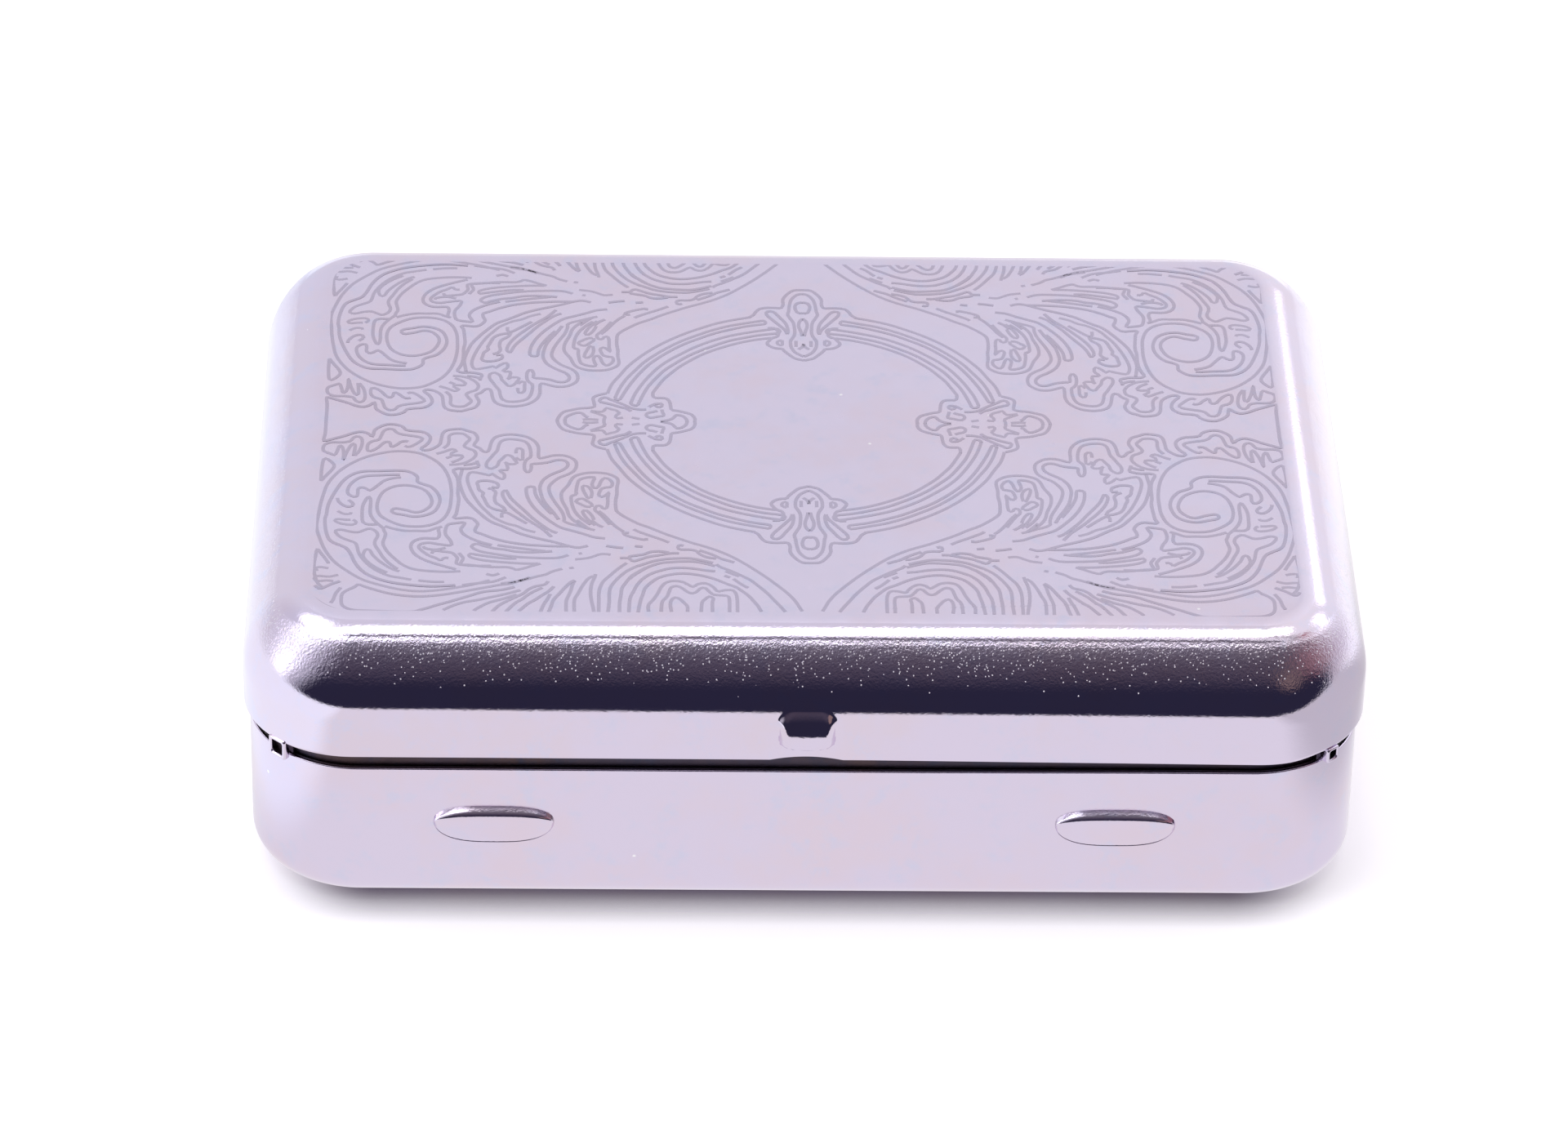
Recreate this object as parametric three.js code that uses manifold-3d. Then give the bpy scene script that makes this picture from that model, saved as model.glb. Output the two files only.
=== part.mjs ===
// Flat tobacco case: a lid and a base pressed from thin sheet steel and nickel plated, joined by a
// knuckle hinge at the rear, snapped shut at the front by a spring strip, with a sprung flap for
// cigarette papers inside the lid. Millimetres, +Z up, front towards -Y, origin under the middle.

import * as THREE from "three";
import { mergeVertices } from "three/addons/utils/BufferGeometryUtils.js";
import Module from "manifold-3d";

const wasm = await Module();
wasm.setup();

const rad = THREE.MathUtils.degToRad;

// Shells
const lidWidth = 100;
const lidDepth = 71;
const caseHeight = 27.5;
const sheet = 0.5;
const lidOverhang = 0.5;
const baseRim = 14.5;
const seamGap = 1.5;
const cornerRadius = 10;
const footRadius = 2.8;

// Lid section: skirt, lower bend, sloping shoulder, roll into the flat top
const skirtHeight = 5;
const bendRadius = 3;
const shoulderAngle = rad(38.5);
const rollRadius = 1.6;

// Catch pocket pressed outwards in the front skirt, and thumb relief in the rim below it
const pocketWidth = 5.2;
const pocketHeight = 4;
const pocketDepth = 0.8;
const pocketRise = 3.3;
const pocketTaper = 1.1;
const pocketFlankWall = 0.3;
const reliefWidth = 6.4;
const reliefHeight = 0.4;

// Crescent lugs lanced out of the base's front wall and pushed inwards
const lugSpacing = 55.2;
const lugWidth = 10.7;
const lugCornerHeight = 8.9;
const lugArcRise = 1.4;
const lugFoldDrop = 2.3;
const lugPush = 1.1;

// Spring strip inside the front wall
const stripSheet = 0.4;
const stripGap = 0.1;
const stripFoot = 5.2;
const stripRise = 2.4;
const stripEndAngle = rad(45);
const windowClearance = 0.4;
const tongueWidth = 13;
const tongueRise = 3.7;
const nibWidth = 3;
const nibHeight = 1.8;
const nibDepth = 0.4;
const bossBendInset = 0.3;
const bossBendProud = 0.55;
const bossRounding = 0.6;
const pipSize = 1.4;
const pipHole = 0.7;
const pipDepth = 0.35;

// Hinge
const hingeLength = 66;
const knuckleCount = 5;
const knuckleGap = 0.3;
const hingePinRadius = 0.7;
const pinPlay = 0.12;
const leafSheet = 0.4;
const leafGap = 0.1;
const hingeInset = 1;
const rebateDepth = 0.8;
const rebateEndGap = 0.6;
const baseLeafHeight = 6;
const lidLeafHeight = 2.2;
const leafNeck = 1.9;
const joggleHeight = 1.3;
const hingePinOverhang = 0.5;
const pinChamfer = 0.25;

// Paper flap under the lid's top
const flapSheet = 0.4;
const flapSideRoom = 4.9;
const flapFrontRoom = 4.4;
const flapCorner = 6;
const thumbNotchRadius = 7;
const paperSpace = 4.4;
const flapPinRadius = 0.8;
const flapPivotRoom = 3.4;
const springBayWidth = 5.5;
const springBayDepth = 3.2;

// Brackets that carry the flap's pin
const earSheet = 0.8;
const earGap = 1;
const earRadius = 2.6;
const earReach = 6.4;
const flangeWidth = 5;
const flangeSheet = 0.6;
const weldGap = 0.1;
const stopTabLength = 2;
const stopTabSheet = 0.6;
const stopTabGap = 0.1;
const flapPinOverhang = 0.5;

// Torsion springs on the flap's pin
const wireRadius = 0.25;
const wireSteps = 6;
const coilRadius = 1.65;
const coilPitch = 1;
const coilTurns = 3.25;
const coilEarGap = 1.6;
const flapLegLength = 9;
const roofLegHeight = 1.6;
const roofLegLean = 0.35;

// Facets
const cornerSteps = 8;
const bendSteps = 4;
const boreSteps = 16;
const coilSteps = 12;
const weldDistance = 1e-5;

// Sizes that follow from the ones above
const lidRim = baseRim + seamGap;
const lidHalf = new THREE.Vector2(lidWidth / 2, lidDepth / 2);
const baseHalf = lidHalf.clone().subScalar(lidOverhang);
const shoulderStart = lidRim + skirtHeight;
const slopeRise = caseHeight - rollRadius - shoulderStart
  + (rollRadius - bendRadius) * Math.sin(shoulderAngle);
const shoulderInset = bendRadius + (rollRadius - bendRadius) * Math.cos(shoulderAngle)
  + slopeRise * Math.tan(shoulderAngle);
const flatHalf = lidHalf.clone().subScalar(shoulderInset);
const ceiling = caseHeight - sheet;
const pocketZ = lidRim + pocketRise;
const hingeY = lidHalf.y - hingeInset;
const hingeZ = baseRim + seamGap / 2;
const knuckleBore = hingePinRadius + pinPlay;
const knuckleRadius = knuckleBore + leafSheet;
const barrelProud = Math.max(0, knuckleRadius - hingeInset);
const flapTop = ceiling - paperSpace;
const curlBore = flapPinRadius + pinPlay;
const curlRadius = curlBore + flapSheet;
const flapWidth = 2 * (flatHalf.x - flapSideRoom);
const flapPinY = flatHalf.y - flapPivotRoom;
const flapPinZ = flapTop - flapSheet + curlRadius;

// Materials
const nickel = (roughness, color) => new THREE.MeshStandardMaterial({ color, roughness, metalness: 1 });
const satinNickel = nickel(0.38, 0xc9c4d2);
const brightNickel = nickel(0.2, 0xcbc8d4);
const innerNickel = nickel(0.3, 0xbdbac2);
const springSteel = nickel(0.25, 0xa9a7ad);

// Solids
function toSolid(geometry) {
  const bare = geometry.index ? geometry.clone() : geometry;
  bare.deleteAttribute("normal");
  bare.deleteAttribute("uv");
  const merged = mergeVertices(bare, weldDistance);
  const corners = merged.index.array;
  const kept = [];
  for (let i = 0; i < corners.length; i += 3) {
    const [a, b, c] = corners.slice(i, i + 3);
    if (a !== b && b !== c && c !== a) kept.push(a, b, c);
  }
  return new wasm.Manifold(new wasm.Mesh({
    numProp: 3,
    vertProperties: new Float32Array(merged.attributes.position.array),
    triVerts: new Uint32Array(kept),
  }));
}

function toGeometry(solid) {
  const mesh = solid.getMesh();
  const geometry = new THREE.BufferGeometry();
  geometry.setAttribute("position", new THREE.BufferAttribute(mesh.vertProperties, 3));
  geometry.setIndex(new THREE.BufferAttribute(mesh.triVerts, 1));
  return geometry;
}

// Closed skin over a stack of point rings that all run the same way round, capped flat at both ends
function loft(rings) {
  const count = rings[0].length;
  const points = rings.flat();
  const faces = [];
  for (let r = 0; r + 1 < rings.length; r++) {
    for (let i = 0; i < count; i++) {
      const a = r * count + i;
      const b = r * count + (i + 1) % count;
      faces.push(a, b, b + count, a, b + count, a + count);
    }
  }
  const last = (rings.length - 1) * count;
  for (const [start, flip] of [[0, true], [last, false]]) {
    const middle = points.length;
    const centre = new THREE.Vector3();
    for (let i = 0; i < count; i++) centre.addScaledVector(points[start + i], 1 / count);
    points.push(centre);
    for (let i = 0; i < count; i++) {
      const a = start + i;
      const b = start + (i + 1) % count;
      faces.push(...(flip ? [middle, b, a] : [middle, a, b]));
    }
  }
  const geometry = new THREE.BufferGeometry().setFromPoints(points);
  geometry.setIndex(faces);
  return toSolid(geometry);
}

// Rounded rectangle, counter-clockwise seen from above
function roundedRing(half, radius, z) {
  const ring = [];
  for (const [sx, sy, start] of [[1, 1, 0], [-1, 1, 90], [-1, -1, 180], [1, -1, 270]]) {
    for (let i = 0; i <= cornerSteps; i++) {
      const t = rad(start + 90 * i / cornerSteps);
      const x = sx * (half.x - radius) + radius * Math.cos(t);
      const y = sy * (half.y - radius) + radius * Math.sin(t);
      ring.push(new THREE.Vector3(x, y, z));
    }
  }
  return ring;
}

// Pressed form: a section of [inset, height] points carried round the plan
function pressing(half, section) {
  return loft(section.map(([inset, z]) =>
    roundedRing(half.clone().subScalar(inset), cornerRadius - inset, z)));
}

// Section of the lid's outside, or of a face that lies `depth` inside it
function lidSection(depth) {
  const section = [[depth, lidRim], [depth, shoulderStart]];
  for (let i = 1; i <= bendSteps; i++) {
    const t = shoulderAngle * i / bendSteps;
    const r = bendRadius - depth;
    section.push([bendRadius - r * Math.cos(t), shoulderStart + r * Math.sin(t)]);
  }
  for (let i = 0; i <= bendSteps; i++) {
    const t = THREE.MathUtils.lerp(shoulderAngle, Math.PI / 2, i / bendSteps);
    const r = rollRadius - depth;
    section.push([shoulderInset - r * Math.cos(t), caseHeight - rollRadius + r * Math.sin(t)]);
  }
  return section;
}

function baseSection(depth) {
  const section = [];
  for (let i = 0; i <= bendSteps; i++) {
    const t = Math.PI / 2 * i / bendSteps;
    const r = footRadius - depth;
    section.push([footRadius - r * Math.sin(t), footRadius - r * Math.cos(t)]);
  }
  section.push([depth, baseRim]);
  return section;
}

// The inside of a shell runs on past its rim, so that the cut leaves the mouth open
function pastRim(section, rimIndex, dz) {
  const rim = section.at(rimIndex);
  const past = [rim[0], rim[1] + dz];
  return rimIndex === 0 ? [past, ...section] : [...section, past];
}

function block(width, depth, height, x, y, z) {
  const solid = toSolid(new THREE.BoxGeometry(width, depth, height));
  return solid.translate([x, y, z]);
}

// Outline in the Y-Z plane carried along X from x0 to x1
function alongX(outline, x0, x1) {
  const solid = toSolid(new THREE.ExtrudeGeometry(outline, {
    depth: x1 - x0, bevelEnabled: false, curveSegments: boreSteps / 2,
  }));
  return solid.rotate([90, 0, 90]).translate([x0, 0, 0]);
}

function yzOutline(points) {
  return new THREE.Shape(points.map(([y, z]) => new THREE.Vector2(y, z)));
}

function rodAlongX(radius, x0, x1, y, z) {
  const solid = toSolid(new THREE.CylinderGeometry(radius, radius, x1 - x0, boreSteps));
  return solid.rotate([0, 0, 90]).translate([(x0 + x1) / 2, y, z]);
}

// Rolled eye round an axis along X
function eye(bore, radius, x0, x1, y, z) {
  const ring = new THREE.Shape();
  ring.absarc(y, z, radius, 0, 2 * Math.PI);
  const hole = new THREE.Path();
  hole.absarc(y, z, bore, 0, 2 * Math.PI, true);
  ring.holes.push(hole);
  return alongX(ring, x0, x1);
}

// Blunt boss on the front face at height z, standing `proud` out of the plane y = face
function frontBoss(width, height, taper, proud, face, z) {
  const stages = [[0, sheet], [0, 0], [bossBendInset, -bossBendProud * proud], [1, -proud]];
  return loft(stages.map(([share, y]) => {
    const half = new THREE.Vector2(width / 2 - taper * share, height / 2 - taper * share);
    const radius = Math.min(half.x, half.y) * bossRounding;
    return roundedRing(half, radius, 0).map((p) => new THREE.Vector3(p.x, face + y, z + p.y));
  }));
}

// Lid
function lidShell() {
  const front = -lidHalf.y;
  const innerWidth = pocketWidth - 2 * pocketFlankWall;
  const innerHeight = pocketHeight - 2 * pocketFlankWall;
  const outside = pressing(lidHalf, lidSection(0))
    .add(frontBoss(pocketWidth, pocketHeight, pocketTaper, pocketDepth, front, pocketZ));
  const inside = pressing(lidHalf, pastRim(lidSection(sheet), 0, -sheet))
    .add(frontBoss(innerWidth, innerHeight, pocketTaper, pocketDepth, front + sheet, pocketZ));
  const relief = new THREE.Shape();
  const reliefRadius = (reliefWidth ** 2 / 4 + reliefHeight ** 2) / (2 * reliefHeight);
  const reliefAngle = Math.asin(reliefWidth / 2 / reliefRadius);
  relief.absarc(0, reliefHeight - reliefRadius, reliefRadius,
    Math.PI / 2 - reliefAngle, Math.PI / 2 + reliefAngle);
  relief.lineTo(-reliefWidth / 2, -sheet);
  relief.lineTo(reliefWidth / 2, -sheet);
  const thumbRelief = toSolid(new THREE.ExtrudeGeometry(relief, {
    depth: 4 * sheet, bevelEnabled: false, curveSegments: cornerSteps,
  })).rotate([90, 0, 0]).translate([0, front + 3 * sheet, lidRim]);
  return outside.subtract(inside).subtract(thumbRelief).subtract(hingeRebate(lidRim));
}

// Gap in the rear wall of both shells that the hinge barrel lies in
function hingeRebate(rim) {
  const length = hingeLength + 2 * rebateEndGap;
  const reach = knuckleRadius + sheet;
  return block(length, 2 * reach, 2 * rebateDepth, 0, hingeY + reach / 2, rim);
}

// Base
// Space that a lug leaves in front of itself: a lens between the slit's arc and the fold, on a
// floor that sinks from the fold at the bottom to the full push under the slit
function lugSpace(x0, floor) {
  const front = -baseHalf.y;
  const steps = 2 * cornerSteps;
  const rings = [];
  for (let i = 0; i <= steps; i++) {
    const u = 2 * i / steps - 1;
    const bow = 1 - u * u;
    const x = x0 + u * lugWidth / 2;
    const top = lugCornerHeight + lugArcRise * bow;
    const fold = lugCornerHeight - lugFoldDrop * bow;
    rings.push([[front - sheet, top], [front - sheet, fold], [front + floor, fold],
      [front + floor + lugPush * bow, top]].map(([y, z]) => new THREE.Vector3(x, y, z)));
  }
  return loft(rings);
}

function baseShell() {
  let outside = pressing(baseHalf, baseSection(0));
  let inside = pressing(baseHalf, pastRim(baseSection(sheet), -1, sheet));
  for (const side of [-1, 1]) {
    const x = side * lugSpacing / 2;
    outside = outside.subtract(lugSpace(x, 0));
    inside = inside.subtract(lugSpace(x, sheet));
  }
  return outside.subtract(inside).subtract(hingeRebate(baseRim));
}

// Spring strip that follows the front wall inside, from corner to corner
function frontCatchStrip() {
  const faceInset = sheet + stripGap;
  const path = (inset) => {
    const radius = cornerRadius - inset;
    const cx = baseHalf.x - cornerRadius;
    const cy = -(baseHalf.y - cornerRadius);
    const points = [];
    for (const side of [-1, 1]) {
      for (let i = 0; i <= cornerSteps; i++) {
        const share = side < 0 ? 1 - i / cornerSteps : i / cornerSteps;
        const t = stripEndAngle * share;
        points.push(new THREE.Vector2(side * (cx + radius * Math.sin(t)), cy - radius * Math.cos(t)));
      }
    }
    return points;
  };
  const band = new THREE.Shape([...path(faceInset), ...path(faceInset + stripSheet).reverse()]);
  const top = baseRim + stripRise;
  let strip = toSolid(new THREE.ExtrudeGeometry(band, { depth: top - stripFoot, bevelEnabled: false }))
    .translate([0, 0, stripFoot]);

  const face = -baseHalf.y + faceInset;
  const tongueTop = top + tongueRise;
  strip = strip.add(block(tongueWidth, stripSheet, tongueTop - stripFoot,
    0, face + stripSheet / 2, (tongueTop + stripFoot) / 2));
  strip = strip.add(frontBoss(nibWidth, nibHeight, nibDepth, nibDepth, face, pocketZ)
    .intersect(block(nibWidth, 2 * nibDepth + stripSheet, nibHeight,
      0, face - nibDepth + stripSheet / 2, pocketZ)));

  for (const side of [-1, 1]) {
    const windowTop = lugCornerHeight + lugArcRise + windowClearance;
    const windowFoot = lugCornerHeight - lugFoldDrop - windowClearance;
    strip = strip.subtract(block(lugWidth + 2 * windowClearance, 4 * stripSheet, windowTop - windowFoot,
      side * lugSpacing / 2, face, (windowTop + windowFoot) / 2));
    const pip = block(pipSize, pipDepth + stripSheet, pipSize, 0, (stripSheet - pipDepth) / 2, 0)
      .subtract(block(pipHole, 2 * pipDepth, pipHole, 0, -pipDepth, 0));
    const radius = cornerRadius - faceInset;
    const pipAngle = stripEndAngle - pipSize / 2 / radius;
    strip = strip.add(pip.rotate([0, 0, side * THREE.MathUtils.radToDeg(pipAngle)]).translate([
      side * (baseHalf.x - cornerRadius + radius * Math.sin(pipAngle)),
      -(baseHalf.y - cornerRadius) - radius * Math.cos(pipAngle),
      baseRim + seamGap / 2,
    ]));
  }
  return strip;
}

// Hinge
// X range of knuckle k, counted from the left
function knuckleSpan(k) {
  const length = (hingeLength - (knuckleCount - 1) * knuckleGap) / knuckleCount;
  const x0 = -hingeLength / 2 + k * (length + knuckleGap);
  return [x0, x0 + length];
}

// Leaf welded to a wall's inside face at y = wallFace; up is 1 for the lid's leaf and -1 for the base's
function hingeLeaf(wallFace, up, plateHeight, ownKnuckles) {
  const plateBack = wallFace - leafGap;
  const tangent = hingeY - knuckleRadius;
  const neck = hingeZ + up * leafNeck;
  const knee = neck + up * joggleHeight;
  const end = knee + up * plateHeight;
  const tab = yzOutline([
    [tangent, hingeZ], [tangent, neck], [plateBack - leafSheet, knee], [plateBack - leafSheet, end],
    [plateBack, end], [plateBack, knee], [tangent + leafSheet, neck], [tangent + leafSheet, hingeZ],
  ]);
  let leaf = block(hingeLength, leafSheet, plateHeight, 0, plateBack - leafSheet / 2, (knee + end) / 2);
  for (const k of ownKnuckles) {
    const [x0, x1] = knuckleSpan(k);
    const barrelHole = rodAlongX(knuckleBore, x0 - knuckleGap, x1 + knuckleGap, hingeY, hingeZ);
    leaf = leaf.add(alongX(tab, x0, x1).subtract(barrelHole));
    leaf = leaf.add(eye(knuckleBore, knuckleRadius, x0, x1, hingeY, hingeZ));
  }
  return leaf;
}

function pin(radius, end, y, z) {
  const edge = radius - pinChamfer;
  const outline = [[0, -end], [edge, -end], [radius, -end + pinChamfer],
    [radius, end - pinChamfer], [edge, end], [0, end]];
  const lathe = new THREE.LatheGeometry(outline.map(([r, l]) => new THREE.Vector2(r, l)), boreSteps);
  return toSolid(lathe).rotate([0, 0, 90]).translate([0, y, z]);
}

// Paper flap
function paperFlap() {
  const half = flapWidth / 2;
  const rear = flapPinY;
  const free = flapFrontRoom - flatHalf.y;
  const curl = half - springBayWidth;
  const plan = new THREE.Shape();
  plan.moveTo(curl, rear);
  plan.lineTo(-curl, rear);
  plan.lineTo(-curl, rear - springBayDepth);
  plan.lineTo(-half, rear - springBayDepth);
  plan.lineTo(-half, free + flapCorner);
  plan.absarc(-half + flapCorner, free + flapCorner, flapCorner, Math.PI, 1.5 * Math.PI);
  plan.lineTo(-thumbNotchRadius, free);
  plan.absarc(0, free, thumbNotchRadius, Math.PI, 0, true);
  plan.lineTo(half - flapCorner, free);
  plan.absarc(half - flapCorner, free + flapCorner, flapCorner, 1.5 * Math.PI, 2 * Math.PI);
  plan.lineTo(half, rear - springBayDepth);
  plan.lineTo(curl, rear - springBayDepth);
  const plate = toSolid(new THREE.ExtrudeGeometry(plan, {
    depth: flapSheet, bevelEnabled: false, curveSegments: cornerSteps,
  })).translate([0, 0, flapTop - flapSheet]);
  const bore = rodAlongX(curlBore, -half, half, flapPinY, flapPinZ);
  return plate.subtract(bore).add(eye(curlBore, curlRadius, -curl, curl, flapPinY, flapPinZ));
}

const earInside = flapWidth / 2 + earGap;

// Ear with a flange under the lid's top and a stop tab over the flap's edge; side is -1 or 1
function flapBracket(side) {
  const roof = ceiling - weldGap;
  const frontEdge = flapPinY - earReach;
  const stopFoot = flapTop + stopTabGap;
  const outline = new THREE.Shape();
  outline.moveTo(frontEdge, roof);
  outline.lineTo(frontEdge, stopFoot);
  outline.lineTo(flapPinY - earRadius, flapPinZ - earRadius / 2);
  outline.absarc(flapPinY, flapPinZ, earRadius, rad(210), rad(360));
  outline.lineTo(flapPinY + earRadius, roof);
  const x0 = side > 0 ? earInside : -earInside - earSheet;
  const ear = alongX(outline, x0, x0 + earSheet)
    .subtract(rodAlongX(curlBore, x0 - earSheet, x0 + 2 * earSheet, flapPinY, flapPinZ));
  const flangeDepth = earReach + earRadius;
  const flange = block(flangeWidth, flangeDepth, flangeSheet,
    side * (earInside + earSheet - flangeWidth / 2), frontEdge + flangeDepth / 2, roof - flangeSheet / 2);
  const tabWidth = earGap + stopTabLength;
  const stopTab = block(tabWidth, stopTabLength, stopTabSheet,
    side * (earInside - tabWidth / 2), frontEdge + stopTabLength / 2, stopFoot + stopTabSheet / 2);
  return ear.add(flange).add(stopTab);
}

// Centre line of a torsion spring: leg under the flap, coil round the pin, short leg to the lid's top
function springPath(side) {
  const outerX = earInside - coilEarGap;
  const innerX = outerX - coilTurns * coilPitch;
  const points = [
    new THREE.Vector3(side * innerX, flapPinY - flapLegLength, flapPinZ - coilRadius),
    new THREE.Vector3(side * innerX, flapPinY - flapLegLength / 2, flapPinZ - coilRadius),
  ];
  const steps = Math.round(coilTurns * coilSteps);
  for (let i = 0; i <= steps; i++) {
    const turn = coilTurns * i / steps;
    const t = 2 * Math.PI * turn - Math.PI / 2;
    points.push(new THREE.Vector3(side * (innerX + coilPitch * turn),
      flapPinY + coilRadius * Math.cos(t), flapPinZ + coilRadius * Math.sin(t)));
  }
  points.push(new THREE.Vector3(side * outerX, flapPinY + coilRadius + roofLegLean,
    flapPinZ + roofLegHeight));
  return points;
}

// Least clear distance between one turn of the wire and the next
function coilGap(points) {
  let least = Infinity;
  for (let i = 0; i < points.length; i++) {
    for (let j = i + coilSteps / 2; j < points.length; j++) {
      least = Math.min(least, points[i].distanceTo(points[j]));
    }
  }
  return least - 2 * wireRadius;
}

function flapSpring(side) {
  const points = springPath(side);
  console.log(`flap spring: least gap between turns ${coilGap(points).toFixed(2)} mm`);
  const section = new THREE.Shape();
  section.absarc(0, 0, wireRadius, 0, 2 * Math.PI);
  return toSolid(new THREE.ExtrudeGeometry(section, {
    steps: 2 * points.length, curveSegments: wireSteps / 2, bevelEnabled: false,
    extrudePath: new THREE.CatmullRomCurve3(points, false, "centripetal"),
  }));
}

// Assembly
const tobaccoCase = new THREE.Group();
const base = new THREE.Group();
const lid = new THREE.Group();
const flap = new THREE.Group();
tobaccoCase.add(base, lid);
lid.add(flap);
tobaccoCase.position.y = (pocketDepth - barrelProud) / 2;

function place(group, name, solid, material) {
  const mesh = new THREE.Mesh(toGeometry(solid), material);
  mesh.name = name;
  group.add(mesh);
}

const knuckles = [...Array(knuckleCount).keys()];
place(base, "base_shell", baseShell(), brightNickel);
place(base, "front_catch_strip", frontCatchStrip(), springSteel);
place(base, "base_hinge_leaf", hingeLeaf(baseHalf.y - sheet, -1, baseLeafHeight,
  knuckles.filter((k) => k % 2 === 0)), innerNickel);
place(base, "hinge_pin",
  pin(hingePinRadius, hingeLength / 2 + hingePinOverhang, hingeY, hingeZ), springSteel);

place(lid, "lid_shell", lidShell(), satinNickel);
place(lid, "lid_hinge_leaf", hingeLeaf(lidHalf.y - sheet, 1, lidLeafHeight,
  knuckles.filter((k) => k % 2 === 1)), innerNickel);
place(lid, "flap_bracket_left", flapBracket(-1), innerNickel);
place(lid, "flap_bracket_right", flapBracket(1), innerNickel);
place(lid, "paper_flap_pin",
  pin(flapPinRadius, earInside + earSheet + flapPinOverhang, flapPinY, flapPinZ), springSteel);

place(flap, "paper_flap", paperFlap(), innerNickel);
place(flap, "flap_spring_left", flapSpring(-1), springSteel);
place(flap, "flap_spring_right", flapSpring(1), springSteel);

export default tobaccoCase;
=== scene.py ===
# %% [markdown]
# # A pressed steel tobacco case
# A flat case for tobacco and cigarette papers: a lid and a base pressed from thin sheet steel,
# nickel plated, hinged at the back and snapped shut at the front by a spring strip. The lid's top
# carries an etched acanthus scroll round a plain medallion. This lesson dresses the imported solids:
# the two shells are pressed again as fine surfaces, the ornament is drawn with Geometry Nodes, and
# every piece gets a procedural metal. Lengths are written in millimetres and multiplied by MM.

# %% Load the solids as a fixed frame
import math

import bmesh
import bpy
import numpy as np
from mathutils import Matrix, Vector


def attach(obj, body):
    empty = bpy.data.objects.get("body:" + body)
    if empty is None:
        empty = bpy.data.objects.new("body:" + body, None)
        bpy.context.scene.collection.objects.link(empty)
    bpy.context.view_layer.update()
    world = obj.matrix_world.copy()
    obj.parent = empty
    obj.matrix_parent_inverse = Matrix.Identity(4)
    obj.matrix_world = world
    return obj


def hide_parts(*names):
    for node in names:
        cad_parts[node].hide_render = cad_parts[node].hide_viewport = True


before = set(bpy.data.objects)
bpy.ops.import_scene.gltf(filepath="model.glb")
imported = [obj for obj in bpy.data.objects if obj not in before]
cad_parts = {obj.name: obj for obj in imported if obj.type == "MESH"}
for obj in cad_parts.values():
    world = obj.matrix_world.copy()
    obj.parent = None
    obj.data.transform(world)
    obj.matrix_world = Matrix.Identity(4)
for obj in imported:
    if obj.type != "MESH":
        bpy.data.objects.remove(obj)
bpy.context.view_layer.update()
MM = 0.001
print("solids:", sorted(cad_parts))

# %% [markdown]
# ## Camera
# The case was looked at from a little above and almost straight in front, through a long lens, so
# its sides stay nearly parallel. The place and turn below were fitted to the outline of the flat
# top, the rings of the ornament and the seam, and the frame is taken as 1920 by 1406 pixels.

# %% Camera
CAMERA_PLACE = Vector((-17.07, -548.59, 383.33)) * MM
CAMERA_RIGHT = Vector((0.999693, -0.015601, 0.019239))
CAMERA_UP = Vector((-0.007186, 0.560634, 0.828033))
LENS = 164.357


def put_in_scene(name, data):
    """A new object for a mesh, camera or lamp, linked to the scene."""
    item = bpy.data.objects.new(name, data)
    bpy.context.scene.collection.objects.link(item)
    return item


camera_data = bpy.data.cameras.new("camera")
camera_data.lens = LENS
camera_data.sensor_width = 36
camera_data.sensor_fit = "HORIZONTAL"
camera_data.clip_start = 0.01
camera_data.clip_end = 20
camera = put_in_scene("camera", camera_data)
turn = Matrix((CAMERA_RIGHT, CAMERA_UP, CAMERA_RIGHT.cross(CAMERA_UP))).transposed()
camera.matrix_world = Matrix.Translation(CAMERA_PLACE) @ turn.to_4x4()
bpy.context.scene.camera = camera
print("camera is", round((CAMERA_PLACE.length) / MM), "mm from the origin")

# %% [markdown]
# ## Node helpers
# Materials are node trees. A few short helpers keep the trees readable: they start an empty tree,
# add a node and fill its sockets, link, multiply, split a vector, turn one range of numbers into
# another and mix colours. One makes a shader group with named sockets that several materials can
# share, and one places it.

# %% Helpers for node trees
def blank_tree(owner):
    """The emptied node tree of a material or a world."""
    owner.use_nodes = True
    owner.node_tree.nodes.clear()
    return owner.node_tree


def add_node(tree, kind, values=None, **settings):
    node = tree.nodes.new(kind)
    for name, value in settings.items():
        setattr(node, name, value)
    for socket, value in (values or {}).items():
        node.inputs[socket].default_value = value
    return node


def link(tree, source, target):
    tree.links.new(source, target)


def math_node(tree, operation, a, b):
    node = add_node(tree, "ShaderNodeMath", operation=operation)
    for index, value in enumerate((a, b)):
        if isinstance(value, (int, float)):
            node.inputs[index].default_value = value
        else:
            link(tree, value, node.inputs[index])
    return node.outputs[0]


def product(tree, a, b):
    return math_node(tree, "MULTIPLY", a, b)


def lean(tree, a, b, share):
    """a + b x share."""
    return math_node(tree, "ADD", a, product(tree, b, share))


def split(tree, vector):
    """The x, y and z of a vector."""
    node = add_node(tree, "ShaderNodeSeparateXYZ")
    link(tree, vector, node.inputs[0])
    return node.outputs


def remap(tree, value, low, high, to_low=0.0, to_high=1.0):
    """A smooth step from to_low to to_high as the value goes from low to high."""
    node = add_node(tree, "ShaderNodeMapRange", interpolation_type="SMOOTHSTEP")
    link(tree, value, node.inputs["Value"])
    ends = {"From Min": low, "From Max": high, "To Min": to_low, "To Max": to_high}
    for name, end in ends.items():
        if isinstance(end, (int, float)):
            node.inputs[name].default_value = end
        else:
            link(tree, end, node.inputs[name])
    return node.outputs[0]


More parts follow.
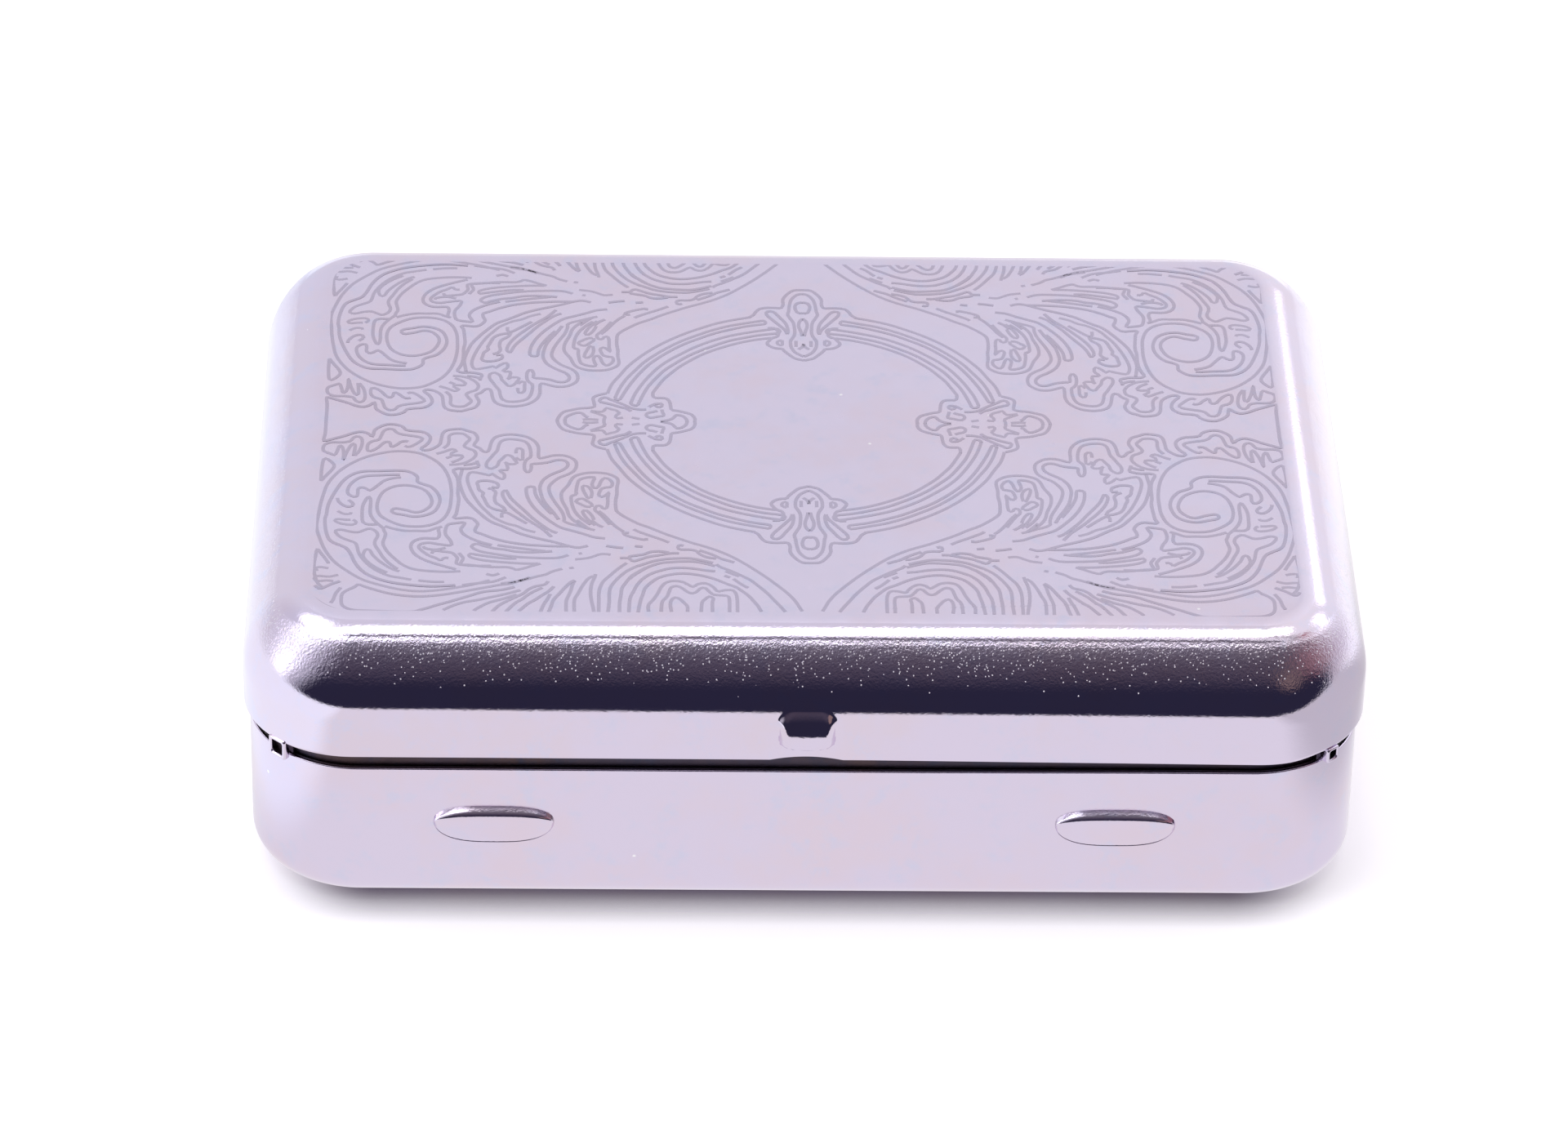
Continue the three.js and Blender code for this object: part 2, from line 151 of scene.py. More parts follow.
def mix_colour(tree, factor, a, b):
    node = add_node(tree, "ShaderNodeMix", data_type="RGBA")
    for index, value in ((0, factor), (6, a), (7, b)):
        if isinstance(value, (int, float)):
            node.inputs[index].default_value = value
        elif isinstance(value, (tuple, list)):
            node.inputs[index].default_value = tuple(value) + (1.0,) * (4 - len(value))
        else:
            link(tree, value, node.inputs[index])
    return node.outputs[2]


def shader_group(name, inputs, outputs):
    group = bpy.data.node_groups.new(name, "ShaderNodeTree")
    for label, kind, default in inputs:
        socket = group.interface.new_socket(label, in_out="INPUT", socket_type=kind)
        if default is not None:
            socket.default_value = default
    for label, kind in outputs:
        group.interface.new_socket(label, in_out="OUTPUT", socket_type=kind)
    return group, group.nodes.new("NodeGroupInput"), group.nodes.new("NodeGroupOutput")


def use_group(tree, group, **values):
    node = tree.nodes.new("ShaderNodeGroup")
    node.node_tree = group
    for name, value in values.items():
        socket = node.inputs[name.replace("_", " ")]
        if isinstance(value, (int, float, tuple)):
            socket.default_value = value
        else:
            link(tree, value, socket)
    return node

# %% [markdown]
# ## Floor, backdrop and light
# The case stands on a white sheet. A polished shell shows nothing but its surroundings, so these
# carry half of the likeness: the white sheet below and behind, one soft lamp overhead that draws
# the bright line along the lid's upper edge, and the unlit side of the room behind the camera,
# which is what turns the sloping front shoulder almost black. Small patches to the left and right
# are what the rounded corners show, and a narrow strip straight above brightens the ledge of the
# lugs. The camera itself sees plain white.

# %% World: white behind and above, dim room in front
world = bpy.data.worlds.new("studio")
bpy.context.scene.world = world
sky = blank_tree(world)
direction = add_node(sky, "ShaderNodeTexCoord").outputs["Generated"]
side, ahead, up = split(sky, direction)


def patch(tree, towards, inner, outer):
    """1 inside a cone about a direction, 0 outside it; the two numbers are its angles in degrees."""
    length = math.sqrt(sum(v * v for v in towards))
    unit = tuple(v / length for v in towards)
    dot = add_node(tree, "ShaderNodeVectorMath", {1: unit}, operation="DOT_PRODUCT")
    link(tree, direction, dot.inputs[0])
    low, high = (math.cos(math.radians(angle)) for angle in (outer, inner))
    return remap(tree, dot.outputs["Value"], low, high)


LOW_NAVY, MIDDLE_PLUM, HIGH_GREY = (0.026, 0.024, 0.050), (0.085, 0.070, 0.100), (0.17, 0.155, 0.185)
BACK_LEFT, BACK_MIDDLE, BACK_RIGHT = (0.86, 0.87, 0.93), (0.83, 0.82, 0.86), (1.03, 1.02, 1.03)
LEFT_WALL, LOW_RIGHT, STRIP_ABOVE = (0.75, 0.74, 0.81), (0.68, 0.62, 0.68), (1.5, 1.5, 1.55)
WHITE_CARD = (2.2, 2.2, 2.3)
front = mix_colour(sky, remap(sky, up, 0.16, 0.50), LOW_NAVY, MIDDLE_PLUM)
front = mix_colour(sky, remap(sky, up, 0.62, 0.92), front, HIGH_GREY)
back = mix_colour(sky, remap(sky, side, -0.45, -0.05), BACK_LEFT, BACK_MIDDLE)
back = mix_colour(sky, remap(sky, side, 0.02, 0.32), back, BACK_RIGHT)
behind = remap(sky, lean(sky, ahead, up, 0.02), 0.0, 0.16)
colour = mix_colour(sky, behind, front, back)
left_share = remap(sky, lean(sky, product(sky, side, -1.0), up, 0.55), 0.66, 0.98)
colour = mix_colour(sky, left_share, colour, LEFT_WALL)
PATCHES = (  # direction, inner and outer angle, colour
    ((-0.77, -0.08, 0.64), 9, 15, WHITE_CARD),
    ((-0.95, -0.20, 0.25), 9, 14, WHITE_CARD),
    ((-0.97, -0.14, 0.02), 6, 11, WHITE_CARD),
    ((-0.58, -0.08, 0.80), 8, 14, WHITE_CARD),
    ((-0.40, 0.28, 0.87), 8, 14, WHITE_CARD),
    ((0.84, -0.28, 0.46), 11, 20, (0.36, 0.19, 0.21)),
    ((0.54, -0.78, 0.32), 5, 13, (0.30, 0.21, 0.19)),
    ((0.62, 0.07, 0.78), 5, 10, (0.52, 0.30, 0.32)),
    ((0.60, 0.50, 0.63), 5, 9, (1.9, 1.9, 2.0)),
    ((0.43, 0.79, 0.43), 4, 7, (2.0, 2.0, 2.1)))
for towards, inner, outer, glow in PATCHES:
    colour = mix_colour(sky, patch(sky, towards, inner, outer), colour, glow)
right_share = remap(sky, lean(sky, side, ahead, 0.6), 0.76, 1.00)
low_right = product(sky, right_share, remap(sky, up, 0.30, 0.52, 1.0, 0.0))
low_right = product(sky, low_right, remap(sky, ahead, 0.35, 0.70, 1.0, 0.0))
colour = mix_colour(sky, low_right, colour, LOW_RIGHT)
overhead = product(sky, remap(sky, ahead, -0.07, -0.045), remap(sky, up, 0.86, 0.93))
overhead = product(sky, overhead, remap(sky, ahead, -0.02, 0.02, 1.0, 0.0))
colour = mix_colour(sky, overhead, colour, STRIP_ABOVE)
rays = add_node(sky, "ShaderNodeLightPath")
colour = mix_colour(sky, rays.outputs["Is Camera Ray"], colour, (1.0, 1.0, 1.0))
surround = add_node(sky, "ShaderNodeBackground", {"Strength": 1.0})
link(sky, colour, surround.inputs["Color"])
link(sky, surround.outputs[0], add_node(sky, "ShaderNodeOutputWorld").inputs["Surface"])

# %% [markdown]
# The sheet's colour and its glow for the camera are darkened by an ambient occlusion mask where the
# case stands close above it: a painted contact shadow, which fades towards the two ends of the case.
# In reflections the sheet is a plain glow with painted tones of reflected light: brighter and cooler
# on the left, darker at the right front, brighter at the right rear.

# %% Floor and lamp
SHEET_CORNERS = ((-1500, -112), (-60, -106), (60, -89), (1500, -80), (1500, 2500), (-1500, 2500))
# Reach, power and tone of the painted contact shadow, an occlusion mask mixed into the sheet's colour and glow.
PAINTED_SHADOW_REACH, PAINTED_SHADOW_POWER, SHEET_GLOW = 4 * MM, 1.6, 0.52
PAINTED_SHADOW_TONE, SHEET_TONE = (0.20, 0.17, 0.22), (0.92, 0.90, 0.95)
# Tones of the painted reflection: what the metal mirrors of the sheet is a glow in these colours.
PAINTED_REFLECTION_LEFT, PAINTED_REFLECTION_MIDDLE = (1.10, 1.14, 1.20), (0.93, 0.91, 0.93)
PAINTED_REFLECTION_RIGHT_FRONT, PAINTED_REFLECTION_RIGHT_REAR = (0.68, 0.66, 0.68), (1.32, 1.34, 1.34)
floor_mesh = bpy.data.meshes.new("floor")
corners = [(x * MM, y * MM, 0) for x, y in SHEET_CORNERS]
floor_mesh.from_pydata(corners, [], [tuple(range(len(corners)))])
floor = put_in_scene("floor", floor_mesh)
paper = bpy.data.materials.new("white_sheet")
tree = blank_tree(paper)
rays = add_node(tree, "ShaderNodeLightPath")
# Painted contact shadow: the occlusion mask darkens the sheet's colour and its glow for the camera.
painted_shadow_ao = add_node(tree, "ShaderNodeAmbientOcclusion", {"Distance": PAINTED_SHADOW_REACH}, samples=8)
share_outside_painted_shadow = math_node(tree, "POWER", painted_shadow_ao.outputs["AO"], PAINTED_SHADOW_POWER)
across, deep, _ = split(tree, add_node(tree, "ShaderNodeTexCoord").outputs["Object"])
# The painted shadow is lifted towards the two ends of the case.
beside = remap(tree, product(tree, across, across), (38 * MM) ** 2, (49 * MM) ** 2, 0.0, 0.8)
share_outside_painted_shadow = lean(tree, share_outside_painted_shadow, math_node(tree, "SUBTRACT", 1.0, share_outside_painted_shadow), beside)
matt = add_node(tree, "ShaderNodeBsdfDiffuse")
link(tree, mix_colour(tree, share_outside_painted_shadow, PAINTED_SHADOW_TONE, SHEET_TONE), matt.inputs["Color"])
glow = add_node(tree, "ShaderNodeEmission", {"Color": (1, 1, 1, 1)})
seen = product(tree, rays.outputs["Is Camera Ray"], share_outside_painted_shadow)
link(tree, product(tree, seen, SHEET_GLOW), glow.inputs["Strength"])
lit = add_node(tree, "ShaderNodeAddShader")
link(tree, matt.outputs[0], lit.inputs[0])
link(tree, glow.outputs[0], lit.inputs[1])
# Painted reflection: in glossy rays the sheet is a glow whose tone changes from left to right and from front to
# back.
tone = mix_colour(tree, remap(tree, across, -62 * MM, -51 * MM), PAINTED_REFLECTION_LEFT, PAINTED_REFLECTION_MIDDLE)
right = mix_colour(tree, remap(tree, deep, 0, 50 * MM), PAINTED_REFLECTION_RIGHT_FRONT, PAINTED_REFLECTION_RIGHT_REAR)
tone = mix_colour(tree, remap(tree, across, 53 * MM, 70 * MM), tone, right)
mirrored = add_node(tree, "ShaderNodeEmission", {"Strength": 1.0})
link(tree, tone, mirrored.inputs["Color"])
either = add_node(tree, "ShaderNodeMixShader")
link(tree, rays.outputs["Is Glossy Ray"], either.inputs[0])
link(tree, lit.outputs[0], either.inputs[1])
link(tree, mirrored.outputs[0], either.inputs[2])
link(tree, either.outputs[0], add_node(tree, "ShaderNodeOutputMaterial").inputs["Surface"])
floor_mesh.materials.append(paper)

LAMP_PLACE, LAMP_SIZE, LAMP_WATTS = (-0.03, 0.07, 0.94), (0.9, 0.22), 1.5
lamp_data = bpy.data.lights.new("overhead_softbox", "AREA")
lamp_data.shape = "RECTANGLE"
lamp_data.size, lamp_data.size_y = LAMP_SIZE
lamp_data.energy = LAMP_WATTS
lamp = put_in_scene("overhead_softbox", lamp_data)
lamp.location = LAMP_PLACE
lamp.rotation_euler = (-lamp.location).to_track_quat("-Z", "Y").to_euler()
bpy.context.scene.view_settings.view_transform = "Standard"

# %% [markdown]
# ## Sizes of the case
# These are the sizes that the solids were built from, so the fine surfaces fall on the same planes.
# The lid's section is a short skirt, then a full round shoulder in two arcs, wide at the skirt and
# tighter under the flat top. The base is a plain tray with a small foot radius.

# %% Sizes
SHEET = 0.5
MIDDLE_Y = 0.29  # the pocket in front stands out more than the hinge at the back
PLAN_RADIUS = 10
LID_HALF = (50.0, 35.5)
BASE_HALF = (49.5, 35.0)
LID_RIM, BASE_RIM, TOP = 16.0, 14.5, 27.5
SHOULDER_START, BEND, ROLL = 19.79, 9.0, 5.5
SHOULDER_ANGLE = math.radians(38.5)
SLOPE_RISE = TOP - ROLL - SHOULDER_START + (ROLL - BEND) * math.sin(SHOULDER_ANGLE)
SHOULDER_INSET = (BEND + (ROLL - BEND) * math.cos(SHOULDER_ANGLE)
                  + SLOPE_RISE * math.tan(SHOULDER_ANGLE))
FLAT_HALF = (LID_HALF[0] - SHOULDER_INSET, LID_HALF[1] - SHOULDER_INSET)
FOOT = 2.8
SKIN = 0.02  # the flat top lies this much below the solid's, to make room for the etched strips
print("flat of the lid: %.2f x %.2f mm" % (2 * FLAT_HALF[0], 2 * FLAT_HALF[1]))

# %% [markdown]
# ## Pressing a shell
# A pressed shell is one section carried round one plan. Every point of the plan is the centre of a
# corner arc plus an outward direction, and a section point is an inset and a height, so a point of
# the surface is centre + direction x (plan radius - inset). Fine steps are used only where the
# sheet bends or is pressed, and extra rows close to each bend keep the flat parts flat in
# reflections. Outside and inside are joined round the rim, which closes the sheet.

# %% Plan and section
CORNER_STEPS, SIDE_STEPS, BEND_STEPS, ROLL_STEPS = 28, 8, 44, 30
RIM_ROWS = (0.10, 0.3, 0.6, 0.9, 1.15)  # heights above the lid's rim
SKIRT_START, SKIRT_STEP = 17.2, 0.12


def straight(start, end, marks):
    """Places along one side, with extra ones at the given marks."""
    places = [start, start + 0.3, end - 0.3, end] + [m for m in marks if start < m < end]
    return sorted(set(round(p, 4) for p in places))


def plan_columns(half, front_marks, rear_marks):
    """Arc centre and outward direction of each column, counter-clockwise from the front's left end."""
    cx, cy = half[0] - PLAN_RADIUS, half[1] - PLAN_RADIUS
    side_marks = list(np.linspace(-cy, cy, SIDE_STEPS + 1)[1:-1])
    centres, outward = [], []
    for a, b, normal in ((front_marks, cx, (0, -1)), (side_marks, cy, (1, 0)),
                         (rear_marks, cx, (0, 1)), (side_marks, cy, (-1, 0))):
        turned = normal in ((0, 1), (-1, 0))
        for place in straight(-b, b, a):
            along = -place if turned else place
            centre = (along, normal[1] * cy) if normal[0] == 0 else (normal[0] * cx, along)
            centres.append(centre)
            outward.append(normal)
        corner = centres[-1]
        first = math.atan2(normal[1], normal[0])
        for step in range(1, CORNER_STEPS):
            angle = first + math.pi / 2 * step / CORNER_STEPS
            centres.append(corner)
            outward.append((math.cos(angle), math.sin(angle)))
    return np.array(centres, float), np.array(outward, float)


def arc_rows(radius, start, end, steps, centre_inset, centre_z):
    """Section rows round a bend; the angle is the slope of the outward face above level."""
    return [(centre_inset - radius * math.cos(t), centre_z + radius * math.sin(t))
            for t in np.linspace(start, end, steps + 1)]


def lid_rows(depth):
    """Section of the lid `depth` inside its outer face, from the rim up to the flat."""
    rows = [(depth, LID_RIM + h) for h in RIM_ROWS]
    rows += [(depth, z) for z in np.arange(SKIRT_START, SHOULDER_START - 0.05, SKIRT_STEP)]
    rows += arc_rows(BEND - depth, 0, SHOULDER_ANGLE, BEND_STEPS, BEND, SHOULDER_START)
    roll = arc_rows(ROLL - depth, SHOULDER_ANGLE, math.pi / 2, ROLL_STEPS, SHOULDER_INSET, TOP - ROLL)
    low, high = np.array(rows[-1]), np.array(roll[0])
    rows += [tuple((low + high) / 2)] + roll
    rows += [(SHOULDER_INSET + d, TOP - depth) for d in (0.08, 0.5)]
    return rows

# %% [markdown]
# The catch pocket is pressed outwards so that the nib of the spring strip can snap into it from
# behind. It leans out slowly from the shoulder, stands upright above its lower edge and turns back
# there in a short curved crease. Below it the rim is cut up a little in a shallow arc for the
# thumbnail, and at the back the rim is cut away for the barrel of the hinge. The lid sits a little
# lower at the right front, so both rims run into the seam there and narrow it.

# %% Pocket, thumb relief and hinge gap
POCKET_FOOT, POCKET_TOP, POCKET_HALF, POCKET_PROUD, POCKET_FLANK = 17.35, 21.25, 2.6, 0.78, 0.95
RELIEF = (3.2, 0.4)
HINGE_GAP = (33.6, 0.8)
LID_SAG, BASE_SAG = 0.26, 0.12
SAG_SPAN = (8, 34, 42.5, 46)  # x where the sag begins, is full, begins to end and ends
RIM_FADE = 1.2  # height over which what is cut at a rim fades out


def smooth_step(low, high, value):
    t = np.clip((value - low) / (high - low), 0, 1)
    return t * t * (3 - 2 * t)


def pocket_height(x, z):
    """How far the front skirt is pressed out at a place."""
    share = (z - POCKET_FOOT) / (POCKET_TOP - POCKET_FOOT)
    share = share - 0.12 * (x / POCKET_HALF) ** 2 * np.clip(1 - share, 0, 1)
    turn_back = np.sin(np.pi / 2 * np.clip(share / 0.08, 0, 1))
    leaning = 1 - np.clip((share - 0.30) / 0.70, 0, 1) ** 1.6
    low, high = np.clip(share / 0.69, 0, 1), np.clip((share - 0.69) / 0.31, 0, 1)
    half = POCKET_HALF - 0.12 + 0.12 * low - 0.75 * high ** 1.5
    flank = 1 - (1 - np.clip((half - np.abs(x)) / POCKET_FLANK, 0, 1)) ** 2
    return POCKET_PROUD * turn_back * leaning * flank


def on_front(outward):
    return outward[:, 1] < -0.999


def rim_lift(points, outward, sign):
    """Height by which the rim is cut back in each column, up for the lid (1), down for the base (-1)."""
    x, rear = points[:, 0], on_front(-outward)
    gap_half, gap_height = HINGE_GAP
    gap = gap_height * smooth_step(gap_half + 0.12, gap_half - 0.12, np.abs(x))
    lift = np.where(rear, gap, 0)
    if sign > 0:
        bow = np.clip(1 - (x / RELIEF[0]) ** 2, 0, 1)
        lift = np.where(on_front(outward), RELIEF[1] * bow, lift)
    begin, full, ending, end = SAG_SPAN
    sag = smooth_step(begin, full, x) * smooth_step(end, ending, x) * (points[:, 1] < 0)
    lift = lift - sag * (LID_SAG if sign > 0 else BASE_SAG)
    return sign * lift

# %% [markdown]
# The rows of points become a mesh: quads between neighbouring rows and columns, a strip across
# the sheet's edge at the rim, and one flat face that closes each end. Points that fall together
# are merged, and the faces are then turned outwards.

# %% Rows to a closed shell
MERGE_WITHIN, NO_LENGTH = 2e-6, 1e-7  # in metres


def closed_faces(rows, columns):
    first, last = range(columns), range((rows - 1) * columns, rows * columns)
    faces = []
    for r in range(rows - 1):
        for c in range(columns):
            d = (c + 1) % columns
            here, above = r * columns, (r + 1) * columns
            faces.append((here + c, here + d, above + d, above + c))
    return faces + [tuple(first)[::-1], tuple(last)]


def finish_mesh(name, stack, sharp_degrees=50):
    """A closed piece from rows of points in mm, as a stack of rows x columns x 3."""
    mesh = bpy.data.meshes.new(name)
    points = stack.reshape(-1, 3) * MM
    mesh.from_pydata([tuple(p) for p in points], [], closed_faces(*stack.shape[:2]))
    bm = bmesh.new()
    bm.from_mesh(mesh)
    bmesh.ops.remove_doubles(bm, verts=bm.verts, dist=MERGE_WITHIN)
    bmesh.ops.dissolve_degenerate(bm, edges=bm.edges, dist=NO_LENGTH)
    bmesh.ops.recalc_face_normals(bm, faces=bm.faces)
    bm.to_mesh(mesh)
    open_edges = sum(1 for e in bm.edges if len(e.link_faces) != 2)
    bm.free()
    mesh.shade_smooth()
    mesh.set_sharp_from_angle(angle=math.radians(sharp_degrees))
    count = sum(len(p.vertices) - 2 for p in mesh.polygons)
    print("%s: %d triangles, %d open edges" % (name, count, open_edges))
    return put_in_scene(name, mesh)


def carried(centres, outward, rows):
    """Points of the surface: one row of columns for each section row."""
    level = np.ones(len(centres))
    return [np.column_stack([centres + outward * (PLAN_RADIUS - inset), level * z])
            for inset, z in rows]

# %% Lid shell
front_marks = list(np.arange(-3.48, 3.49, 0.12)) + [-6, 6, -20, 20]
gap_marks = [s * (HINGE_GAP[0] + d) for s in (-1, 1)
             for d in (-0.2, -0.12, -0.06, 0, 0.06, 0.12, 0.2)] + [-16, 0, 16]
lid_centres, lid_outward = plan_columns(LID_HALF, front_marks, gap_marks)


def lid_surface(depth):
    surface = carried(lid_centres, lid_outward, lid_rows(depth))
    for points in surface:
        above = points[:, 2] - LID_RIM
        points[:, 2] += rim_lift(points, lid_outward, 1) * np.clip(1 - above / RIM_FADE, 0, 1)
        pressed = pocket_height(points[:, 0], points[:, 2])
        points[:, 1] -= np.where(on_front(lid_outward), pressed, 0)
    return surface


def rim_roll(outer, inner, down):
    """Rounded edge of the sheet between the first outer row and the first inner row."""
    rows = []
    for share in np.linspace(0, math.pi, 7)[1:-1]:
        mix = (1 - math.cos(share)) / 2
        row = outer * (1 - mix) + inner * mix
        row[:, 2] -= down * 0.10 * math.sin(share)
        rows.append(row)
    return rows


outer, inner = lid_surface(0), lid_surface(SHEET)
edge = rim_roll(outer[0], inner[0], 1)
stack = np.array(inner[::-1] + edge[::-1] + outer)
stack[..., 1] += MIDDLE_Y
stack[..., 2] = np.where(stack[..., 2] > TOP - 0.001, TOP - SKIN, stack[..., 2])
lid_skin = finish_mesh("lid_pressing", stack)

# %% [markdown]
# ## Base with crescent lugs
# The base is pressed the same way, from the flat bottom up to the rim. Two crescents stand out of
# its front wall as grips for the fingertips: a sloping ledge on top that catches the light, a round
# lip, and a face that runs back into the wall along a fine fold. In the rows of the wall, those of a
# lug spread apart in its columns and fall together everywhere else, where merging closes them.

# %% Base rows
LUG = {"x": 27.6, "half": 5.35, "corner_z": 8.9, "arc": 1.4, "fold": 2.3, "proud": 0.80,
       "lip": 0.56}
LEDGE_SLOPE = math.radians(29)
CREASE = 0.04
FACE_STEPS, LIP_STEPS = 8, 10
WALL_ABOVE_LUGS = (11.2, 12.8, 13.3, 13.8, 14.1, 14.3, 14.4)


def foot_rows(depth):
    r = FOOT - depth
    rows = [(FOOT + 0.5, depth), (FOOT + 0.08, depth)]
    rows += [(FOOT - r * math.sin(t), FOOT - r * math.cos(t)) for t in np.linspace(0, math.pi / 2, 19)]
    return rows + [(depth, z) for z in (FOOT + 0.08, 4.2, 5.6)]


def lug_bow(x, outward):
    """1 in the middle of a lug, 0 at its ends and anywhere off the lugs."""
    u = (np.abs(x) - LUG["x"]) / LUG["half"]
    return np.where(on_front(outward), np.sqrt(np.clip(1 - np.abs(u) ** 3, 0, None)), 0)


def lug_rows(depth):
    """Rows from just below the fold to just above the ledge, `depth` inside the outer face."""
    bow = lug_bow(base_centres[:, 0], base_outward)
    blunt = bow ** 0.6
    fold_z = LUG["corner_z"] - LUG["fold"] * bow
    ledge_z = LUG["corner_z"] + LUG["arc"] * bow - 0.9 * depth * np.minimum(3 * bow, 1)
    proud, lip = LUG["proud"] * blunt, LUG["lip"] * blunt
    places = [(0 * bow, fold_z - 0.25), (0 * bow, fold_z - 0.09), (-CREASE * blunt, fold_z - 0.045)]
    for t in np.linspace(0, 1, FACE_STEPS + 1):
        places.append((proud * t, fold_z + (ledge_z - lip - fold_z) * t))
    for t in np.linspace(0, math.pi / 2 - LEDGE_SLOPE, LIP_STEPS + 1)[1:]:
        places.append((proud - lip + lip * math.cos(t), ledge_z - lip + lip * math.sin(t)))
    reach, height = places[-1]
    for share in (0.5, 0.92, 1.0):
        places.append((reach * (1 - share), height + reach * share * math.tan(LEDGE_SLOPE)))
    places += [(0 * bow, places[-1][1] + rise * blunt) for rise in (0.04, 0.15, 0.35)]
    rows = []
    for stand, z in places:
        row = carried(base_centres, base_outward, [(depth, 0)])[0]
        row[:, 1] -= stand
        row[:, 2] = z
        rows.append(row)
    return rows


def base_surface(depth):
    rows = carried(base_centres, base_outward, foot_rows(depth)) + lug_rows(depth)
    for row in carried(base_centres, base_outward, [(depth, z) for z in WALL_ABOVE_LUGS]):
        below = BASE_RIM - row[:, 2]
        row[:, 2] += rim_lift(row, base_outward, -1) * np.clip(1 - below / RIM_FADE, 0, 1)
        rows.append(row)
    return rows

# %% Base shell
lug_marks = [s * (LUG["x"] + LUG["half"] * math.sin(t)) for s in (-1, 1)
             for t in np.linspace(-math.pi / 2, math.pi / 2, 57)]
lug_marks += [s * (LUG["x"] + d) for s in (-1, 1) for d in (-5.5, 5.5)] + [0, -10, 10]
base_centres, base_outward = plan_columns(BASE_HALF, lug_marks, gap_marks)
outer, inner = base_surface(0), base_surface(SHEET)
stack = np.array(outer + rim_roll(outer[-1], inner[-1], -1) + inner[::-1])
stack[..., 1] += MIDDLE_Y
base_skin = finish_mesh("base_pressing", stack, 38)

# %% [markdown]
# ## The etched ornament
# The ornament is the same in all four quarters of the lid: a fan and feathers, a petal, a broad
# leaf and a scroll, a ring round a plain medallion with a clasp on each side, and a line round the
# whole. It is written down once as strokes, each a list of points in tenths of a millimetre from
# the pattern's centre, outwards and towards the front. An alternative would be a bump texture, but
# real strips stay sharp from every side and are easy to correct one by one.

